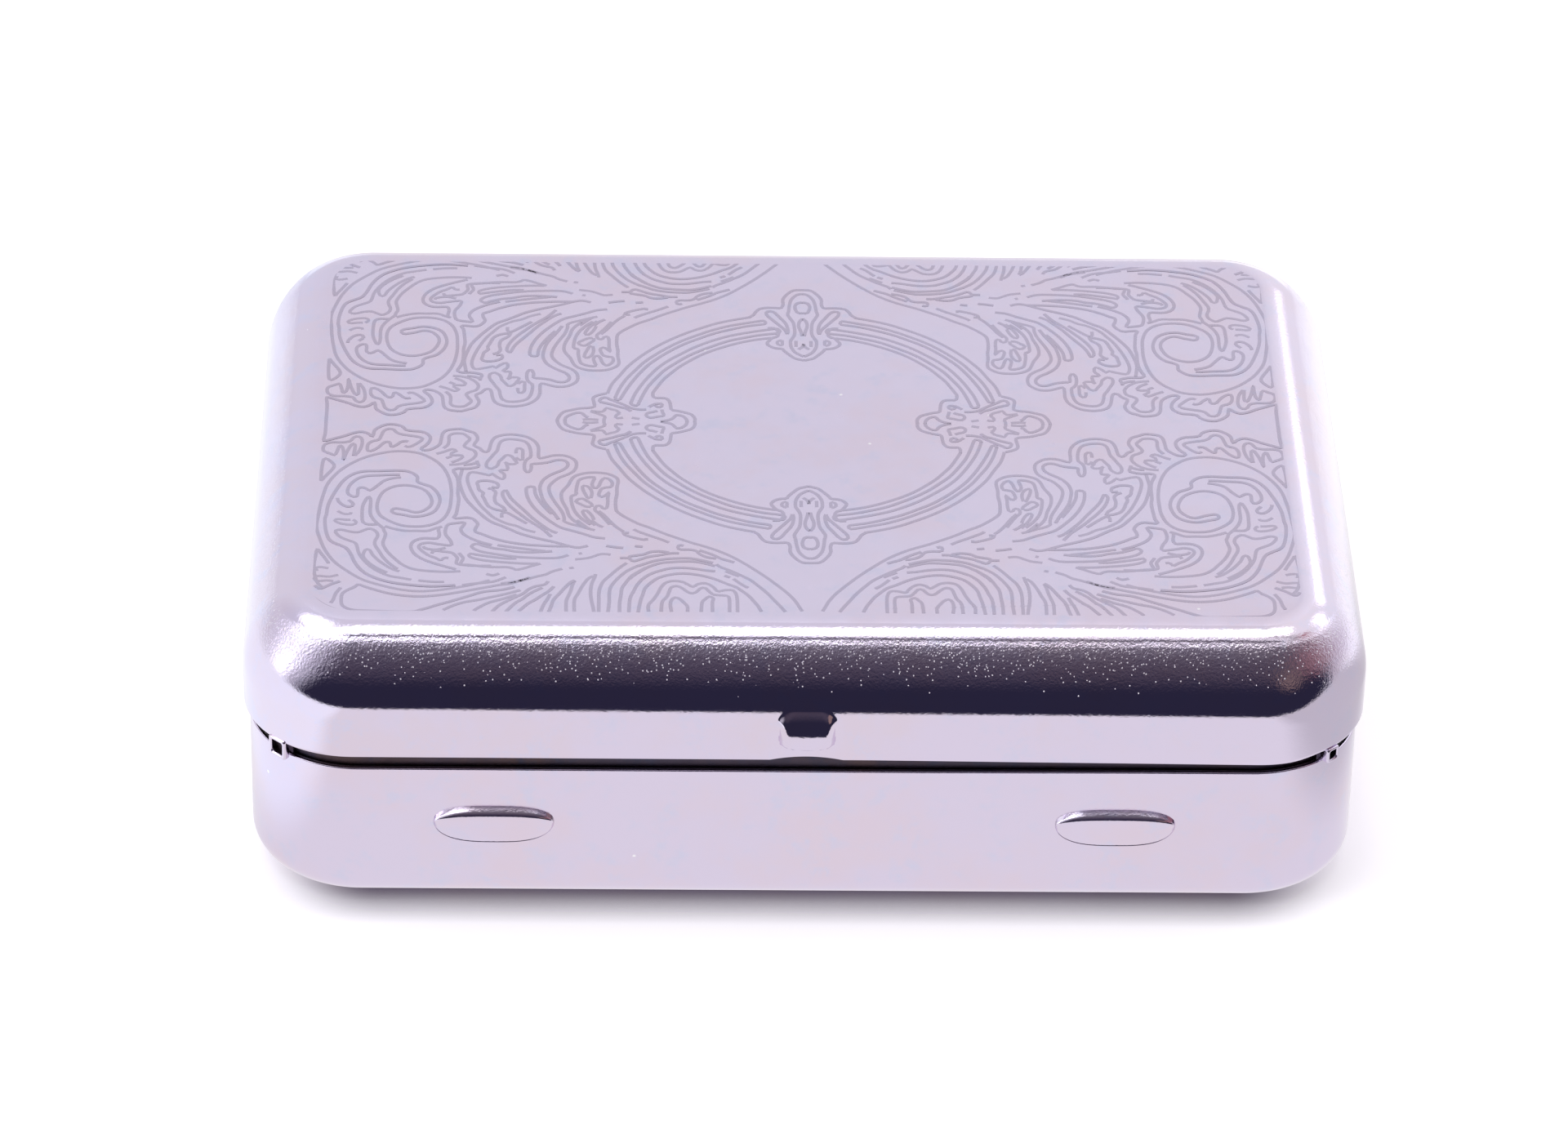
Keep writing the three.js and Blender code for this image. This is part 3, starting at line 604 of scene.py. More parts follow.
# %% Strokes of one quarter
STROKES = [
    ("scroll", 1, "282,261 297,268 312,273 327,277 344,279 362,276 382,268 396,260 411,245 421,232 429,215 "
     "434,198 438,178 437,158 436,143 434,126 431,109 425,94 416,80 403,67 390,59 376,54 364,53 350,56 339,64 "
     "331,73 325,85 321,100 319,117 319,132 320,147 324,161 331,170 341,175 352,176 363,174 374,167 382,158 "
     "385,146 384,132 380,120 372,112 362,109 352,111 343,117 338,126 336,136 338,144 344,151 351,153 358,150 "
     "364,148 369,147 372,151 369,155 362,157 352,160 342,158 334,152 330,142 329,131 332,120 338,111 345,107 "
     "350,103 350,96 353,91 360,86 370,85 385,86 400,87 410,93 417,103 422,116 426,129 429,143 430,158 431,165 "
     "430,180 427,195 423,202 416,207 410,212 406,221 402,234 396,246 388,255 372,264 352,269 332,271 312,269"),
    ("feather_edge", 1, "351,261 361,258 371,255 381,248 389,239 395,229 399,219 401,208 403,203 409,199 415,195 "
     "419,190 421,184 416,182 408,185 401,186 396,183 391,180 387,182 384,186 383,192 385,199 385,206 381,216 "
     "377,226 371,236 364,244"),
    ("leaf_loop", 1, "362,248 369,244 377,236 383,228 387,221 389,215 392,213 394,216 395,224 392,231 387,238 "
     "381,244 373,250"),
    ("inner_bow", 1, "308,247 321,248 336,247 350,244 359,238 366,229 373,218 377,208 378,202 377,196 376,188 "
     "378,183 378,180 385,170 389,162 391,153 391,135 393,128 396,135 398,145 398,159 397,169 393,173 384,173"),
    ("brow", 1, "326,176 332,179 339,183 349,183 359,183 369,180 377,176"),
    ("fork", 1, "281,238 296,238 310,236 312,233 311,227 312,224 316,218 323,216 332,215 334,219"),
    ("fork_in", 1, "319,226 323,226 326,230 331,226 337,222 343,215 346,209 344,204 337,202 329,204 318,206 "
     "317,202 319,196 322,190 323,184 322,176 320,172 313,170 306,169 307,174 309,179 308,185 304,191 298,196 "
     "290,201 281,205"),
    ("fork_mid", 1, "322,210 331,213 340,211 342,208"),
    ("fork_out", 1, "312,244 321,240 331,235 341,229 348,222 352,214 353,206 350,199 343,195 334,195 330,195 "
     "328,190 329,182 329,177"),
    ("stem", 1, "214,206 229,206 240,205 250,204 263,201 272,198 282,193 291,187 296,184 296,178 294,172 296,167 "
     "299,163 304,161 310,162 316,162 314,156 313,147 312,132 313,122 313,107 314,97 316,90 318,84 314,81 "
     "305,81 298,79 295,77 296,73 297,68"),
    ("leaf3", 1, "297,71 303,74 309,75"),
    ("vein_a", 1, "230,198 245,192 257,186 265,180 273,174 283,167 292,155 300,142 306,130 310,115 312,102 311,91 "
     "310,83"),
    ("vein_b", 1, "243,184 252,180 260,174 269,170 280,161 286,152 292,142 297,130 301,118 304,106 305,96 303,88 "
     "299,87 290,90 285,92 283,89 279,94 274,98 272,96 272,90 275,86 276,83 270,83 269,80 270,74 271,70"),
    ("leaf_in", 1, "272,70 268,73 263,73 261,71 263,66 266,60 270,58 272,60 274,64 277,69 278,75 281,79 284,81 "
     "288,78 288,71 285,64 282,57 279,51 278,44 276,36 271,32 263,32 255,35 251,41 249,51 249,61 252,65 254,71 "
     "254,81 252,86 250,86 248,80 248,73 243,72 234,70 226,66 220,66 216,70 216,76 220,82 228,88 234,94 "
     "238,101 240,111 239,121 237,131 233,141 228,151 223,163"),
    ("leaf_edge", 1, "191,180 198,177 206,173 213,170 218,166 218,161 220,151 224,141 228,131 231,121 232,111 "
     "229,103 223,95 215,89 210,83 208,75 209,67 214,61 220,58 228,58 235,61 241,63 242,56 242,46 244,38 "
     "248,32 254,27 263,24 271,24 279,27 283,32 285,40 286,48 288,53 292,52 295,47 300,43 299,38 297,32 298,26 "
     "301,21 307,18 313,15 321,16 326,18 329,23 330,31 331,40 334,45 340,50 346,51 348,48 344,43 341,37 340,30 "
     "343,24 349,20 357,19 363,17 365,13 371,9 379,8 386,12 391,18 392,25 393,29 397,24 403,21 410,23 418,28 "
     "426,32 434,36 437,36 436,23 436,0"),
    ("leaf_gill", 1, "262,55 262,51 261,47 258,47 256,51 256,59 256,65 259,66 262,62"),
    ("leaf3_in", 1, "322,75 314,74 307,71 301,65 298,58 300,51 305,48 309,44 307,38 304,32 307,27 311,23 319,23 "
     "323,27 323,35 324,42 328,48"),
    ("leaf3_zig", 1, "334,57 328,54 322,50 319,49 316,52 320,55 320,59 312,59 310,62 314,67 320,71"),
    ("leaf3_tip", 1, "320,61 325,64"),
    ("leaf4_in", 1, "363,44 360,46 355,43 349,36 347,32 351,29 358,27 366,25 371,22 374,17 379,16 383,20 385,28 "
     "387,34 393,37 396,41 397,47 396,53 392,52 387,47 384,42 381,38 377,38 376,42 375,46 370,42 366,37 361,36 "
     "360,37"),
    ("leaf5", 1, "408,61 404,53 402,43 402,35 404,30 408,29 411,33 413,37 420,39 429,39 435,42 437,48 436,54 "
     "430,58 426,60 424,53 422,44 419,49 418,59 418,69 416,58 413,47 410,41 408,45 409,61"),
    ("spandrel", 1, "437,103 432,93 427,83 426,77 429,71 434,66 436,69 437,83 437,102"),
    ("bud", 1, "365,96 373,98 380,102 385,109 390,116 393,118 396,115 400,113 403,116 403,123 404,128 408,128 "
     "412,123 412,115 409,106 403,98 395,94 383,93 372,92 366,92"),
    ("dash1", 1, "411,134 407,139 407,143 411,145 416,142 420,136 421,131"),
    ("dash2", 1, "408,154 408,156 413,157 417,155 420,152"),
    ("dash3", 1, "406,166 403,169 404,173 409,174 417,172 422,168 420,165 412,166 408,166"),
    ("f1", 1, "238,234 246,238 253,242 259,244 262,242 267,240 279,240 289,239 299,237 308,236 307,231 306,226 "
     "308,222 310,218"),
    ("f2", 1, "240,234 252,234 264,233 279,231 289,229 297,226 301,223 300,219 296,220 284,223 269,226 259,226"),
    ("f3", 1, "214,220 219,223 226,225 240,225 255,224 267,222 279,219 289,216 296,212 299,207 295,203 289,206 "
     "279,210 269,212 260,215 248,216 235,215 228,214"),
    ("f4", 1, "234,214 245,212 255,210 264,208 276,205"),
    ("f5", 1, "197,205 205,208 213,206 221,202 230,198"),
    ("f9", 1, "182,193 192,191 201,186 211,181 221,176 228,169 235,160 241,151 247,139 251,126 252,113 249,110 "
     "245,111 244,121 241,131 236,142 231,151 229,154"),
    ("f10", 1, "224,185 230,181 237,173 246,161 252,151 259,140 265,130 268,122 270,116 273,120 272,128 268,138 "
     "262,148 256,156 250,164 243,172 236,180 229,191"),
    ("f11", 1, "251,170 259,162 265,156 270,152 273,154 273,160"),
    ("f12", 1, "270,150 272,144 276,140 279,136 280,128 279,120 282,115 286,113"),
    ("f13", 1, "271,150 278,148 284,144 287,138 289,131 291,125 290,121 294,116 295,110 296,104 293,101 285,101 "
     "278,105 277,109 278,112 283,111"),
    ("petal_out", 1.15, "9,306 12,298 15,290 21,279 28,269 37,257 47,245 57,234 69,222 82,212 94,205 106,199 "
     "118,192 131,184 142,176 153,169 161,162 167,156 172,149 173,141 173,131 172,121 172,111 171,101 172,95 "
     "177,90 183,87 192,86 200,87 208,91 212,97 215,107 219,115 221,122 220,133 216,146 214,156 210,164 "
     "204,171 197,177"),
    ("petal_in", 1, "178,171 183,161 187,154 191,148 191,144 189,140 186,141 184,145 181,144 180,136 180,127 "
     "179,118 181,122 185,126 188,123 187,117 185,112 180,110 177,109 176,103 179,97 183,95 186,100 188,108 "
     "191,112 194,107 193,100 192,94 198,94 205,98 207,106 208,116 208,122 212,125 212,133 211,141 209,149 "
     "206,156 201,164 195,171"),
    ("petal_eye1", 1, "195,128 194,121 195,114 198,109 202,108 202,114 200,121 198,127 196,129"),
    ("petal_eye2", 1, "194,142 194,138 198,133 202,129 206,130 208,134 204,138 199,142 195,142"),
    ("petal_eye3", 1, "192,163 194,156 198,149 201,148 202,151 200,157 197,163 191,172"),
    ("band1", 1, "126,199 133,194 143,188 154,181 157,178"),
    ("band2", 1, "161,184 166,184 165,187 160,190 153,193 146,195 146,192"),
    ("band3", 1, "166,182 172,175 177,167 183,156 188,149"),
    ("band4", 1, "184,175 189,171 194,164"),
    ("band5", 1, "196,178 201,172 207,164"),
    ("blot1", 1.8, "149,206 156,205"),
    ("blot2", 1.4, "166,208 173,207 181,205"),
    ("blot3", 1.3, "177,219 185,218 192,222 198,225 208,227"),
    ("blot4", 1.6, "202,217 205,218"),
    ("blot5", 1.3, "209,240 213,241"),
    ("g1", 1.3, "219,242 227,246 233,251 240,254 248,258 254,261 264,264 272,266"),
    ("g2", 1, "247,256 255,261 264,266 273,268 282,271 297,276 312,281 327,285 342,287 357,286 372,282 387,275 "
     "394,271 398,269 401,273 406,277 411,283 412,291 411,301 407,306 400,309 387,310 352,311 340,307 327,300 "
     "317,295 302,287 287,279 272,276 260,271"),
    ("g3", 1, "255,276 267,282 282,288 292,292 302,295 312,300 322,308"),
    ("g4", 1, "258,283 270,290 282,296 292,305 295,309"),
    ("g5", 1, "231,262 234,267 242,270 248,275 252,281 259,287 267,294 273,300 279,310"),
    ("g6", 1, "236,272 242,277 248,283 253,290 258,295 262,301 267,310"),
    ("g7", 1, "226,270 230,277 236,284 242,291 248,297 252,303 256,309"),
    ("g8", 1, "229,282 231,289 234,297 236,305 237,310"),
    ("g9", 1, "208,260 212,264 217,273 221,281 226,291 228,301 230,310"),
    ("g10", 1, "208,261 210,268 211,275 213,284 215,293 215,310"),
    ("g11", 1, "192,253 196,257 199,263 202,271 205,281 208,291 208,310"),
    ("g12", 1, "190,250 191,256 193,264 194,273 194,284 193,294 192,301 191,310"),
    ("g13", 1, "163,232 168,238 173,245 178,253 183,261 186,271 187,281 187,291 187,310"),
    ("g14", 1, "154,237 162,244 168,252 173,261 177,271 178,281 178,294 179,310"),
    ("g15", 1, "146,239 153,246 159,253 164,264 167,272 168,284 169,296 169,310"),
    ("a1", 1, "45,307 48,298 51,292 55,284 61,276 67,269 75,264 85,257 95,252 105,249 115,248 125,250 135,255 "
     "142,263 147,272 149,282 151,292 153,309"),
    ("a2", 1.1, "85,244 93,243 105,240 115,239 125,240 134,244 142,249 149,257 154,267 157,277 160,288 161,309"),
    ("a3", 1, "85,236 94,232 104,229 114,229 124,230 134,232 144,238 152,246 158,253 160,257"),
    ("a4", 1, "87,231 97,227 107,224 117,224 127,225 138,228 147,233 154,237"),
    ("a5", 1, "117,216 124,216 134,219 144,222 151,226 157,229 160,226 161,222 155,220 148,218 142,214 134,213 "
     "126,215"),
    ("a6", 1.2, "162,224 169,224"),
    ("crown_out", 1, "66,308 66,290 67,280 70,274 77,274 83,276 86,271 90,266 95,263 101,265 105,269 110,265 "
     "115,261 123,260 129,263 133,270 136,280 140,290 144,298 144,308"),
    ("crown_in", 1, "73,308 73,288 75,283 81,282 87,281 91,276 94,271 98,271 102,277 105,279 109,278 114,272 "
     "119,268 124,270 126,277 128,285 132,293 133,308"),
    ("drop1", 1, "88,308 88,293 87,287 91,284 94,288 97,293 98,308"),
    ("drop2", 1, "110,308 110,300 113,294 117,288 121,286 124,290 125,298 124,308"),
    ("arc_in", 1.15, "24,307 28,299 33,290 39,279 45,270 54,258 63,250 72,243 81,237 84,233"),
    ("tick1", 1, "56,270 61,266 66,260 69,256"),
    ("tick2", 1, "64,252 70,248 76,244"),
    ("tick3", 1.2, "72,254 77,251"),
    ("wedge", 1.3, "68,230 74,227 80,224 86,219 92,215 99,211"),
    ("wedge2", 1, "84,224 92,222 98,218 102,212 108,210 115,210 118,208 117,203 113,204"),
    ("c1", 1, "413,274 417,283 419,293 421,298"),
    ("c2", 1, "414,264 422,269 428,274 432,276 436,271"),
    ("c3", 1, "416,254 424,257 434,256 437,260 434,264 426,263 420,264"),
    ("c4", 1, "425,244 431,242 436,243 435,248"),
    ("c5", 1, "430,273 434,266 437,253 438,238 437,223 436,213 433,219 429,227 425,236"),
    ("dash4", 1.1, "322,264 332,264 345,262"),
    ("dash5", 1, "268,256 279,263 294,266 306,269"),
    ("dash6", 1.6, "274,250 279,253 285,251"),
    ("side_out", 1, "226,0 224,8 220,15 214,18 206,21 199,22 193,24 193,30 194,38 192,42 187,45 182,47"),
    ("side_in", 1, "102,0 102,6 105,12 110,15 117,18 123,20 124,27 125,34 128,39 133,40 138,40 140,43 140,49"),
    ("side_lobe", 1, "219,0 218,6 213,11 207,14 203,12 201,8 198,6"),
    ("side_lobe2", 1, "109,0 110,5 114,10 119,11 121,7 125,3 133,0"),
    ("side_arm", 1, "146,20 152,20 159,22 164,26 172,32 179,37 183,40 187,38 188,33 184,31 177,28 170,24 165,22 "
     "160,17"),
    ("side_knot", 1, "144,24 139,29 136,30 132,30 132,26 135,24 138,27"),
    ("side_pin", 1, "170,13 173,18 178,20 182,22 185,16 191,16 196,17"),
    ("side_pin2", 1, "196,16 191,13 186,10 183,7 184,3 184,0"),
    ("side_pin3", 1, "170,13 173,10 173,5 167,6"),
    ("side_dash", 1, "152,4 159,6"),
    ("side_dash2", 1, "189,2 198,3 203,2"),
    ("side_bow", 1, "132,20 131,14 130,10 136,8 142,6 146,9 145,14 140,16 136,18"),
    ("front_out", 1, "0,230 8,229 14,222 18,213 18,204 20,198 26,198 33,198 40,196 44,190 46,185 50,181"),
    ("front_mid", 1, "0,223 5,221 10,213 12,203 13,192 14,186 12,180 9,172 8,162 8,152 10,145 12,140 12,132 "
     "11,127 8,120 3,115 0,113"),
    ("front_in", 1, "0,106 5,108 9,110 13,115 18,122 20,126 26,127 31,130 34,135 32,140 29,145 25,147 23,152 "
     "24,158 27,162 33,162"),
    ("front_arm", 1, "15,152 14,158 16,170 21,180 26,189 30,192 34,190 33,184 28,176 22,167 17,159 15,152"),
    ("front_oval", 1, "0,208 5,206 7,200 6,193 4,189 0,189"),
    ("front_vein", 1, "0,179 3,174 4,166 2,156 1,149"),
    ("front_eye", 1, "20,141 20,132 24,134 24,139 20,141"),
    ("front_tick", 1, "7,140 7,130"),
    ("front_tip", 1, "0,135 1,130 5,125"),
    ("ring_out", 1, "181,47 177,63 170,78 163,93 154,107 144,120 133,132 121,143 108,153 94,162 80,170 65,176 "
     "49,181"),
    ("ring_in", 1, "140,49 135,61 130,72 123,83 116,93 107,103 98,112 88,120 77,127 66,133 55,138 43,142 30,145"),
    ("ring_loop", 1, "174,40 170,56 164,72 156,87 148,101 137,115 126,127 114,138 100,148 86,157 70,165 55,170 "
     "38,175 36,174 35,173 35,170 37,169 53,165 68,159 83,152 97,143 110,134 122,123 133,111 143,98 151,84 "
     "158,69 164,54 169,39 170,37 172,36 174,38 174,40"),
    ("ring_loop2", 1, "160,31 156,47 150,63 143,78 135,92 125,105 113,117 101,128 87,138 73,146 58,152 42,157 "
     "26,161 23,160 22,158 22,155 25,153 40,150 55,145 70,139 83,131 96,122 108,112 119,100 129,88 137,74 "
     "144,60 149,45 153,30 154,27 157,27 159,28 160,31"),
    ("frame", 1.15, "442,0 442,80 442,160 442,240 442,269 441,280 436,290 429,299 420,306 410,311 399,312 320,312 "
     "240,312 160,312 80,312 0,312"),
]
print(len(STROKES), "strokes in one quarter,", sum(len(s[2].split()) for s in STROKES), "points")

# %% [markdown]
# A Geometry Nodes tree turns the strokes into strips. It takes the edges as curves, smooths them
# through their points, spaces them evenly and sweeps a low flat profile along them, then copies the
# quarter to the other three with mirror transforms. A mirrored copy is inside out, so its faces are
# flipped. The width of each stroke comes from an attribute on its points. Strokes that touch lie a
# hair apart in height, so that two faces never share a plane.

# %% Quarter to a wire mesh
STEP_BETWEEN, STEP_ALONG = 0.0008, 0.0002
quarter_points, quarter_edges, quarter_width = [], [], []
for order, (_, weight, text) in enumerate(STROKES):
    first = len(quarter_points)
    for place, pair in enumerate(text.split()):
        across, forward = (int(v) / 10 for v in pair.split(","))
        lift = (order % 12) * STEP_BETWEEN + place * STEP_ALONG
        quarter_points.append((across * MM, -forward * MM, lift * MM))
        quarter_width.append(weight)
    quarter_edges += [(i, i + 1) for i in range(first, len(quarter_points) - 1)]
wire = bpy.data.meshes.new("etched_scroll")
wire.from_pydata(quarter_points, quarter_edges, [])
wire.attributes.new("stroke_width", "FLOAT", "POINT").data.foreach_set("value", quarter_width)
ornament = put_in_scene("etched_scroll", wire)

# %% Geometry Nodes tree for the strips
LINE_STAND, LINE_SINK = 0.004, 0.03
STRIP_SIZES = {"Line width": 0.33, "Stand above face": LINE_STAND, "Sink below face": LINE_SINK,
               "Spacing": 0.26}
TOP_TO_BOTTOM, CURVE_STEPS = 0.86, 12  # a strip is a little narrower on top than below
etch_material = bpy.data.materials.new("etched_line")
strips = bpy.data.node_groups.new("strips_along_strokes", "GeometryNodeTree")
strips.interface.new_socket("Geometry", in_out="INPUT", socket_type="NodeSocketGeometry")
for label, size in STRIP_SIZES.items():
    socket = strips.interface.new_socket(label, in_out="INPUT", socket_type="NodeSocketFloat")
    socket.default_value = size * MM
strips.interface.new_socket("Geometry", in_out="OUTPUT", socket_type="NodeSocketGeometry")


def then(source, kind, socket=0, values=None, **settings):
    """The next node of the strips: the first output of the one before feeds the named socket."""
    node = add_node(strips, kind, values, **settings)
    link(strips, source.outputs[0], node.inputs[socket])
    return node


given = strips.nodes.new("NodeGroupInput")
curves = then(given, "GeometryNodeMeshToCurve", "Mesh")
smooth = then(curves, "GeometryNodeCurveSplineType", "Curve", spline_type="CATMULL_ROM")
finer = then(smooth, "GeometryNodeSetSplineResolution", 0, {"Resolution": CURVE_STEPS})
spaced = then(finer, "GeometryNodeResampleCurve", "Curve", mode="LENGTH")
link(strips, given.outputs["Spacing"], spaced.inputs["Length"])
weight = add_node(strips, "GeometryNodeInputNamedAttribute", {"Name": "stroke_width"},
                  data_type="FLOAT")
radius = then(spaced, "GeometryNodeSetCurveRadius", "Curve")
link(strips, weight.outputs[0], radius.inputs["Radius"])
level = then(radius, "GeometryNodeSetCurveNormal", "Curve", mode="Z_UP")
profile = add_node(strips, "GeometryNodeCurvePrimitiveQuadrilateral", {"Offset": 0}, mode="TRAPEZOID")
height = math_node(strips, "ADD", given.outputs["Stand above face"], given.outputs["Sink below face"])
top_width = product(strips, given.outputs["Line width"], TOP_TO_BOTTOM)
for source, socket in ((height, "Height"), (top_width, "Top Width"),
                       (given.outputs["Line width"], "Bottom Width")):
    link(strips, source, profile.inputs[socket])
swept = then(level, "GeometryNodeCurveToMesh", "Curve", {"Fill Caps": True})
link(strips, profile.outputs[0], swept.inputs["Profile Curve"])
joined = strips.nodes.new("GeometryNodeJoinGeometry")
for mirror_x, mirror_y in ((1, 1), (-1, 1), (1, -1), (-1, -1)):
    quarter = then(swept, "GeometryNodeTransform", "Geometry", {"Scale": (mirror_x, mirror_y, 1)})
    if mirror_x * mirror_y < 0:
        quarter = then(quarter, "GeometryNodeFlipFaces")
    link(strips, quarter.outputs[0], joined.inputs[0])
real = then(joined, "GeometryNodeRealizeInstances")
coated = then(real, "GeometryNodeSetMaterial", "Geometry", {"Material": etch_material})
then(coated, "NodeGroupOutput")

# %% [markdown]
# The strips are flat so far. The blank was etched before it was pressed, so the pattern bends with
# the sheet where it runs past the flat at the back: each point keeps its distance along the sheet
# and rolls over the edge. The pattern also sits a little nearer the back than the case does.

# %% Strips to a plain mesh on the lid
PATTERN_CENTRE = (0.10, 1.96)
PATTERN_LEAN = 0.30  # the middle of the pattern sits this much further right than its ends


def made_plain(piece, name):
    """The evaluated result of a piece's modifiers as a plain mesh on the same object."""
    graph = bpy.context.evaluated_depsgraph_get()
    mesh = bpy.data.meshes.new_from_object(piece.evaluated_get(graph))
    piece.modifiers.clear()
    piece.data = mesh
    mesh.name = name
    return mesh


def onto_the_lid(flat):
    """Flat pattern points (mm, height above the sheet in z) bent over the lid's top."""
    x = flat[:, 0] + PATTERN_CENTRE[0]
    x = x + PATTERN_LEAN * (1 - smooth_step(10, 30, np.abs(x)))
    y = flat[:, 1] + PATTERN_CENTRE[1] - MIDDLE_Y
    corner = PLAN_RADIUS - SHOULDER_INSET
    qx, qy = np.abs(x) - (FLAT_HALF[0] - corner), np.abs(y) - (FLAT_HALF[1] - corner)
    reach = np.hypot(np.maximum(qx, 0), np.maximum(qy, 0))
    corner_zone = (qx > 0) & (qy > 0)
    past = np.where(corner_zone, reach - corner, np.maximum(qx, qy) - corner)
    past = np.maximum(past, 0)
    nx = np.where(corner_zone, qx / np.maximum(reach, 1e-9), (qx > qy).astype(float)) * np.sign(x)
    ny = np.where(corner_zone, qy / np.maximum(reach, 1e-9), (qx <= qy).astype(float)) * np.sign(y)
    arc = ROLL * (math.pi / 2 - SHOULDER_ANGLE)
    bend = np.minimum(past, arc) / ROLL
    slope = np.maximum(past - arc, 0)
    run = ROLL * np.sin(bend) + slope * np.cos(bend)
    drop = ROLL * (1 - np.cos(bend)) + slope * np.sin(bend)
    stand = flat[:, 2]
    x = x + nx * (run - past + stand * np.sin(bend))
    y = y + ny * (run - past + stand * np.sin(bend))
    return np.column_stack([x, y + MIDDLE_Y, TOP - SKIN - drop + stand * np.cos(bend)])


modifier = ornament.modifiers.new("strips", "NODES")
modifier.node_group = strips
sockets = {s.name: s.identifier for s in strips.interface.items_tree if s.in_out == "INPUT"}
for label, size in STRIP_SIZES.items():
    modifier[sockets[label]] = size * MM
etched = made_plain(ornament, "etched_scroll")
etched.materials.clear()
etched.materials.append(etch_material)
flat = np.empty(len(etched.vertices) * 3)
etched.vertices.foreach_get("co", flat)
flat = flat.reshape(-1, 3) / MM
print("strips: z from %.3f to %.3f mm" % (flat[:, 2].min(), flat[:, 2].max()))
flat[:, 2] += (LINE_STAND - LINE_SINK) / 2
etched.vertices.foreach_set("co", (onto_the_lid(flat) * MM).ravel())
etched.shade_flat()
etched.update()
print("ornament: %d triangles" % sum(len(p.vertices) - 2 for p in etched.polygons))

# %% [markdown]
# ## Shader groups for worn nickel
# The plating has lost its mirror finish with use: a fine grain left by the rolled sheet, specks
# that sparkle, and faint pink and blue clouds in the tarnish. These are shader groups, built once
# and used by every metal with its own amounts.

# %% Tarnish clouds
VECTOR = ("Vector", "NodeSocketVector", None)


def noise(tree, vector, size, detail, roughness):
    node = add_node(tree, "ShaderNodeTexNoise", {"Detail": detail, "Roughness": roughness})
    link(tree, vector, node.inputs["Vector"])
    link(tree, size, node.inputs["Scale"])
    return node.outputs[0]


clouds, given, result = shader_group(
    "tarnish_clouds",
    [VECTOR, ("Size", "NodeSocketFloat", 90.0), ("Clean", "NodeSocketColor", (0.78, 0.75, 0.85, 1)),
     ("Warm", "NodeSocketColor", (0.78, 0.70, 0.80, 1)),
     ("Cool", "NodeSocketColor", (0.70, 0.70, 0.84, 1))],
    [("Color", "NodeSocketColor")])
place, size, clean, warm, cool, _ = given.outputs
broad = noise(clouds, place, size, 5.0, 0.62)
small = noise(clouds, place, product(clouds, size, 3.7), 6.0, 0.7)
warmed = mix_colour(clouds, remap(clouds, broad, 0.42, 0.66), clean, warm)
both = mix_colour(clouds, remap(clouds, small, 0.50, 0.72), warmed, cool)
link(clouds, both, result.inputs["Color"])

# %% Fine grain of the sheet
grain, given, result = shader_group(
    "sheet_grain",
    [VECTOR, ("Size", "NodeSocketFloat", 4200.0), ("Roughness", "NodeSocketFloat", 0.3),
     ("Spread", "NodeSocketFloat", 0.12)],
    [("Height", "NodeSocketFloat"), ("Roughness", "NodeSocketFloat")])
place, size, roughness, spread, _ = given.outputs
fine = noise(grain, place, size, 3.0, 0.6)
coarse = noise(grain, place, product(grain, size, 0.12), 4.0, 0.6)
link(grain, lean(grain, fine, coarse, 0.7), result.inputs["Height"])
change = product(grain, math_node(grain, "SUBTRACT", coarse, 0.5), spread)
link(grain, lean(grain, roughness, change, 2.0), result.inputs["Roughness"])

# %% Specks
specks, given, result = shader_group(
    "specks",
    [VECTOR, ("Size", "NodeSocketFloat", 900.0), ("Share", "NodeSocketFloat", 0.05)],
    [("Mask", "NodeSocketFloat")])
cells = add_node(specks, "ShaderNodeTexVoronoi", {"Randomness": 1.0})
link(specks, given.outputs["Vector"], cells.inputs["Vector"])
link(specks, given.outputs["Size"], cells.inputs["Scale"])
chosen = add_node(specks, "ShaderNodeTexWhiteNoise", noise_dimensions="3D")
link(specks, cells.outputs["Position"], chosen.inputs["Vector"])
picked = math_node(specks, "LESS_THAN", chosen.outputs["Value"], given.outputs["Share"])
dot = remap(specks, cells.outputs["Distance"], 0.10, 0.32, 1.0, 0.0)
link(specks, product(specks, picked, dot), result.inputs["Mask"])

# %% [markdown]
# The shoulder is worn most near the top, where the case rubs in a pocket: the mirror finish of the
# lower bend turns grainy there, and only the roll into the flat top is spared. A height window
# gives the share of wear at each point.

# %% Wear by height
wear, given, result = shader_group(
    "wear_by_height",
    [VECTOR, ("Low", "NodeSocketFloat", 0.0215), ("High", "NodeSocketFloat", 0.0258)],
    [("Share", "NodeSocketFloat")])
height = split(wear, given.outputs["Vector"])[2]
window = remap(wear, height, given.outputs["Low"], given.outputs["High"])
spared = remap(wear, height, 0.0263, 0.0267, 1.0, 0.12)
link(wear, product(wear, window, spared), result.inputs["Share"])

# %% [markdown]
# ## Metals
# Seven finishes share these groups. The lid's face is a satin nickel with a lilac tint from the
# light, the etched line is the same metal, duller and a little darker, the shoulder is polished and
# worn near the top, and the base is bright. The hidden inside is plainer, pins and springs are
# steel, and the catch strip and the holes of the pips are a near-black steel, painted shade for the
# seam gap and the holes. A pattern's size is its number of cells in a metre.

# %% Metal builder
TARNISH_SIZE, GRAIN_SIZE = 90.0, 4200.0
SPECK_TINT, BUMP_DEPTH = (0.95, 0.94, 0.97), 0.00006


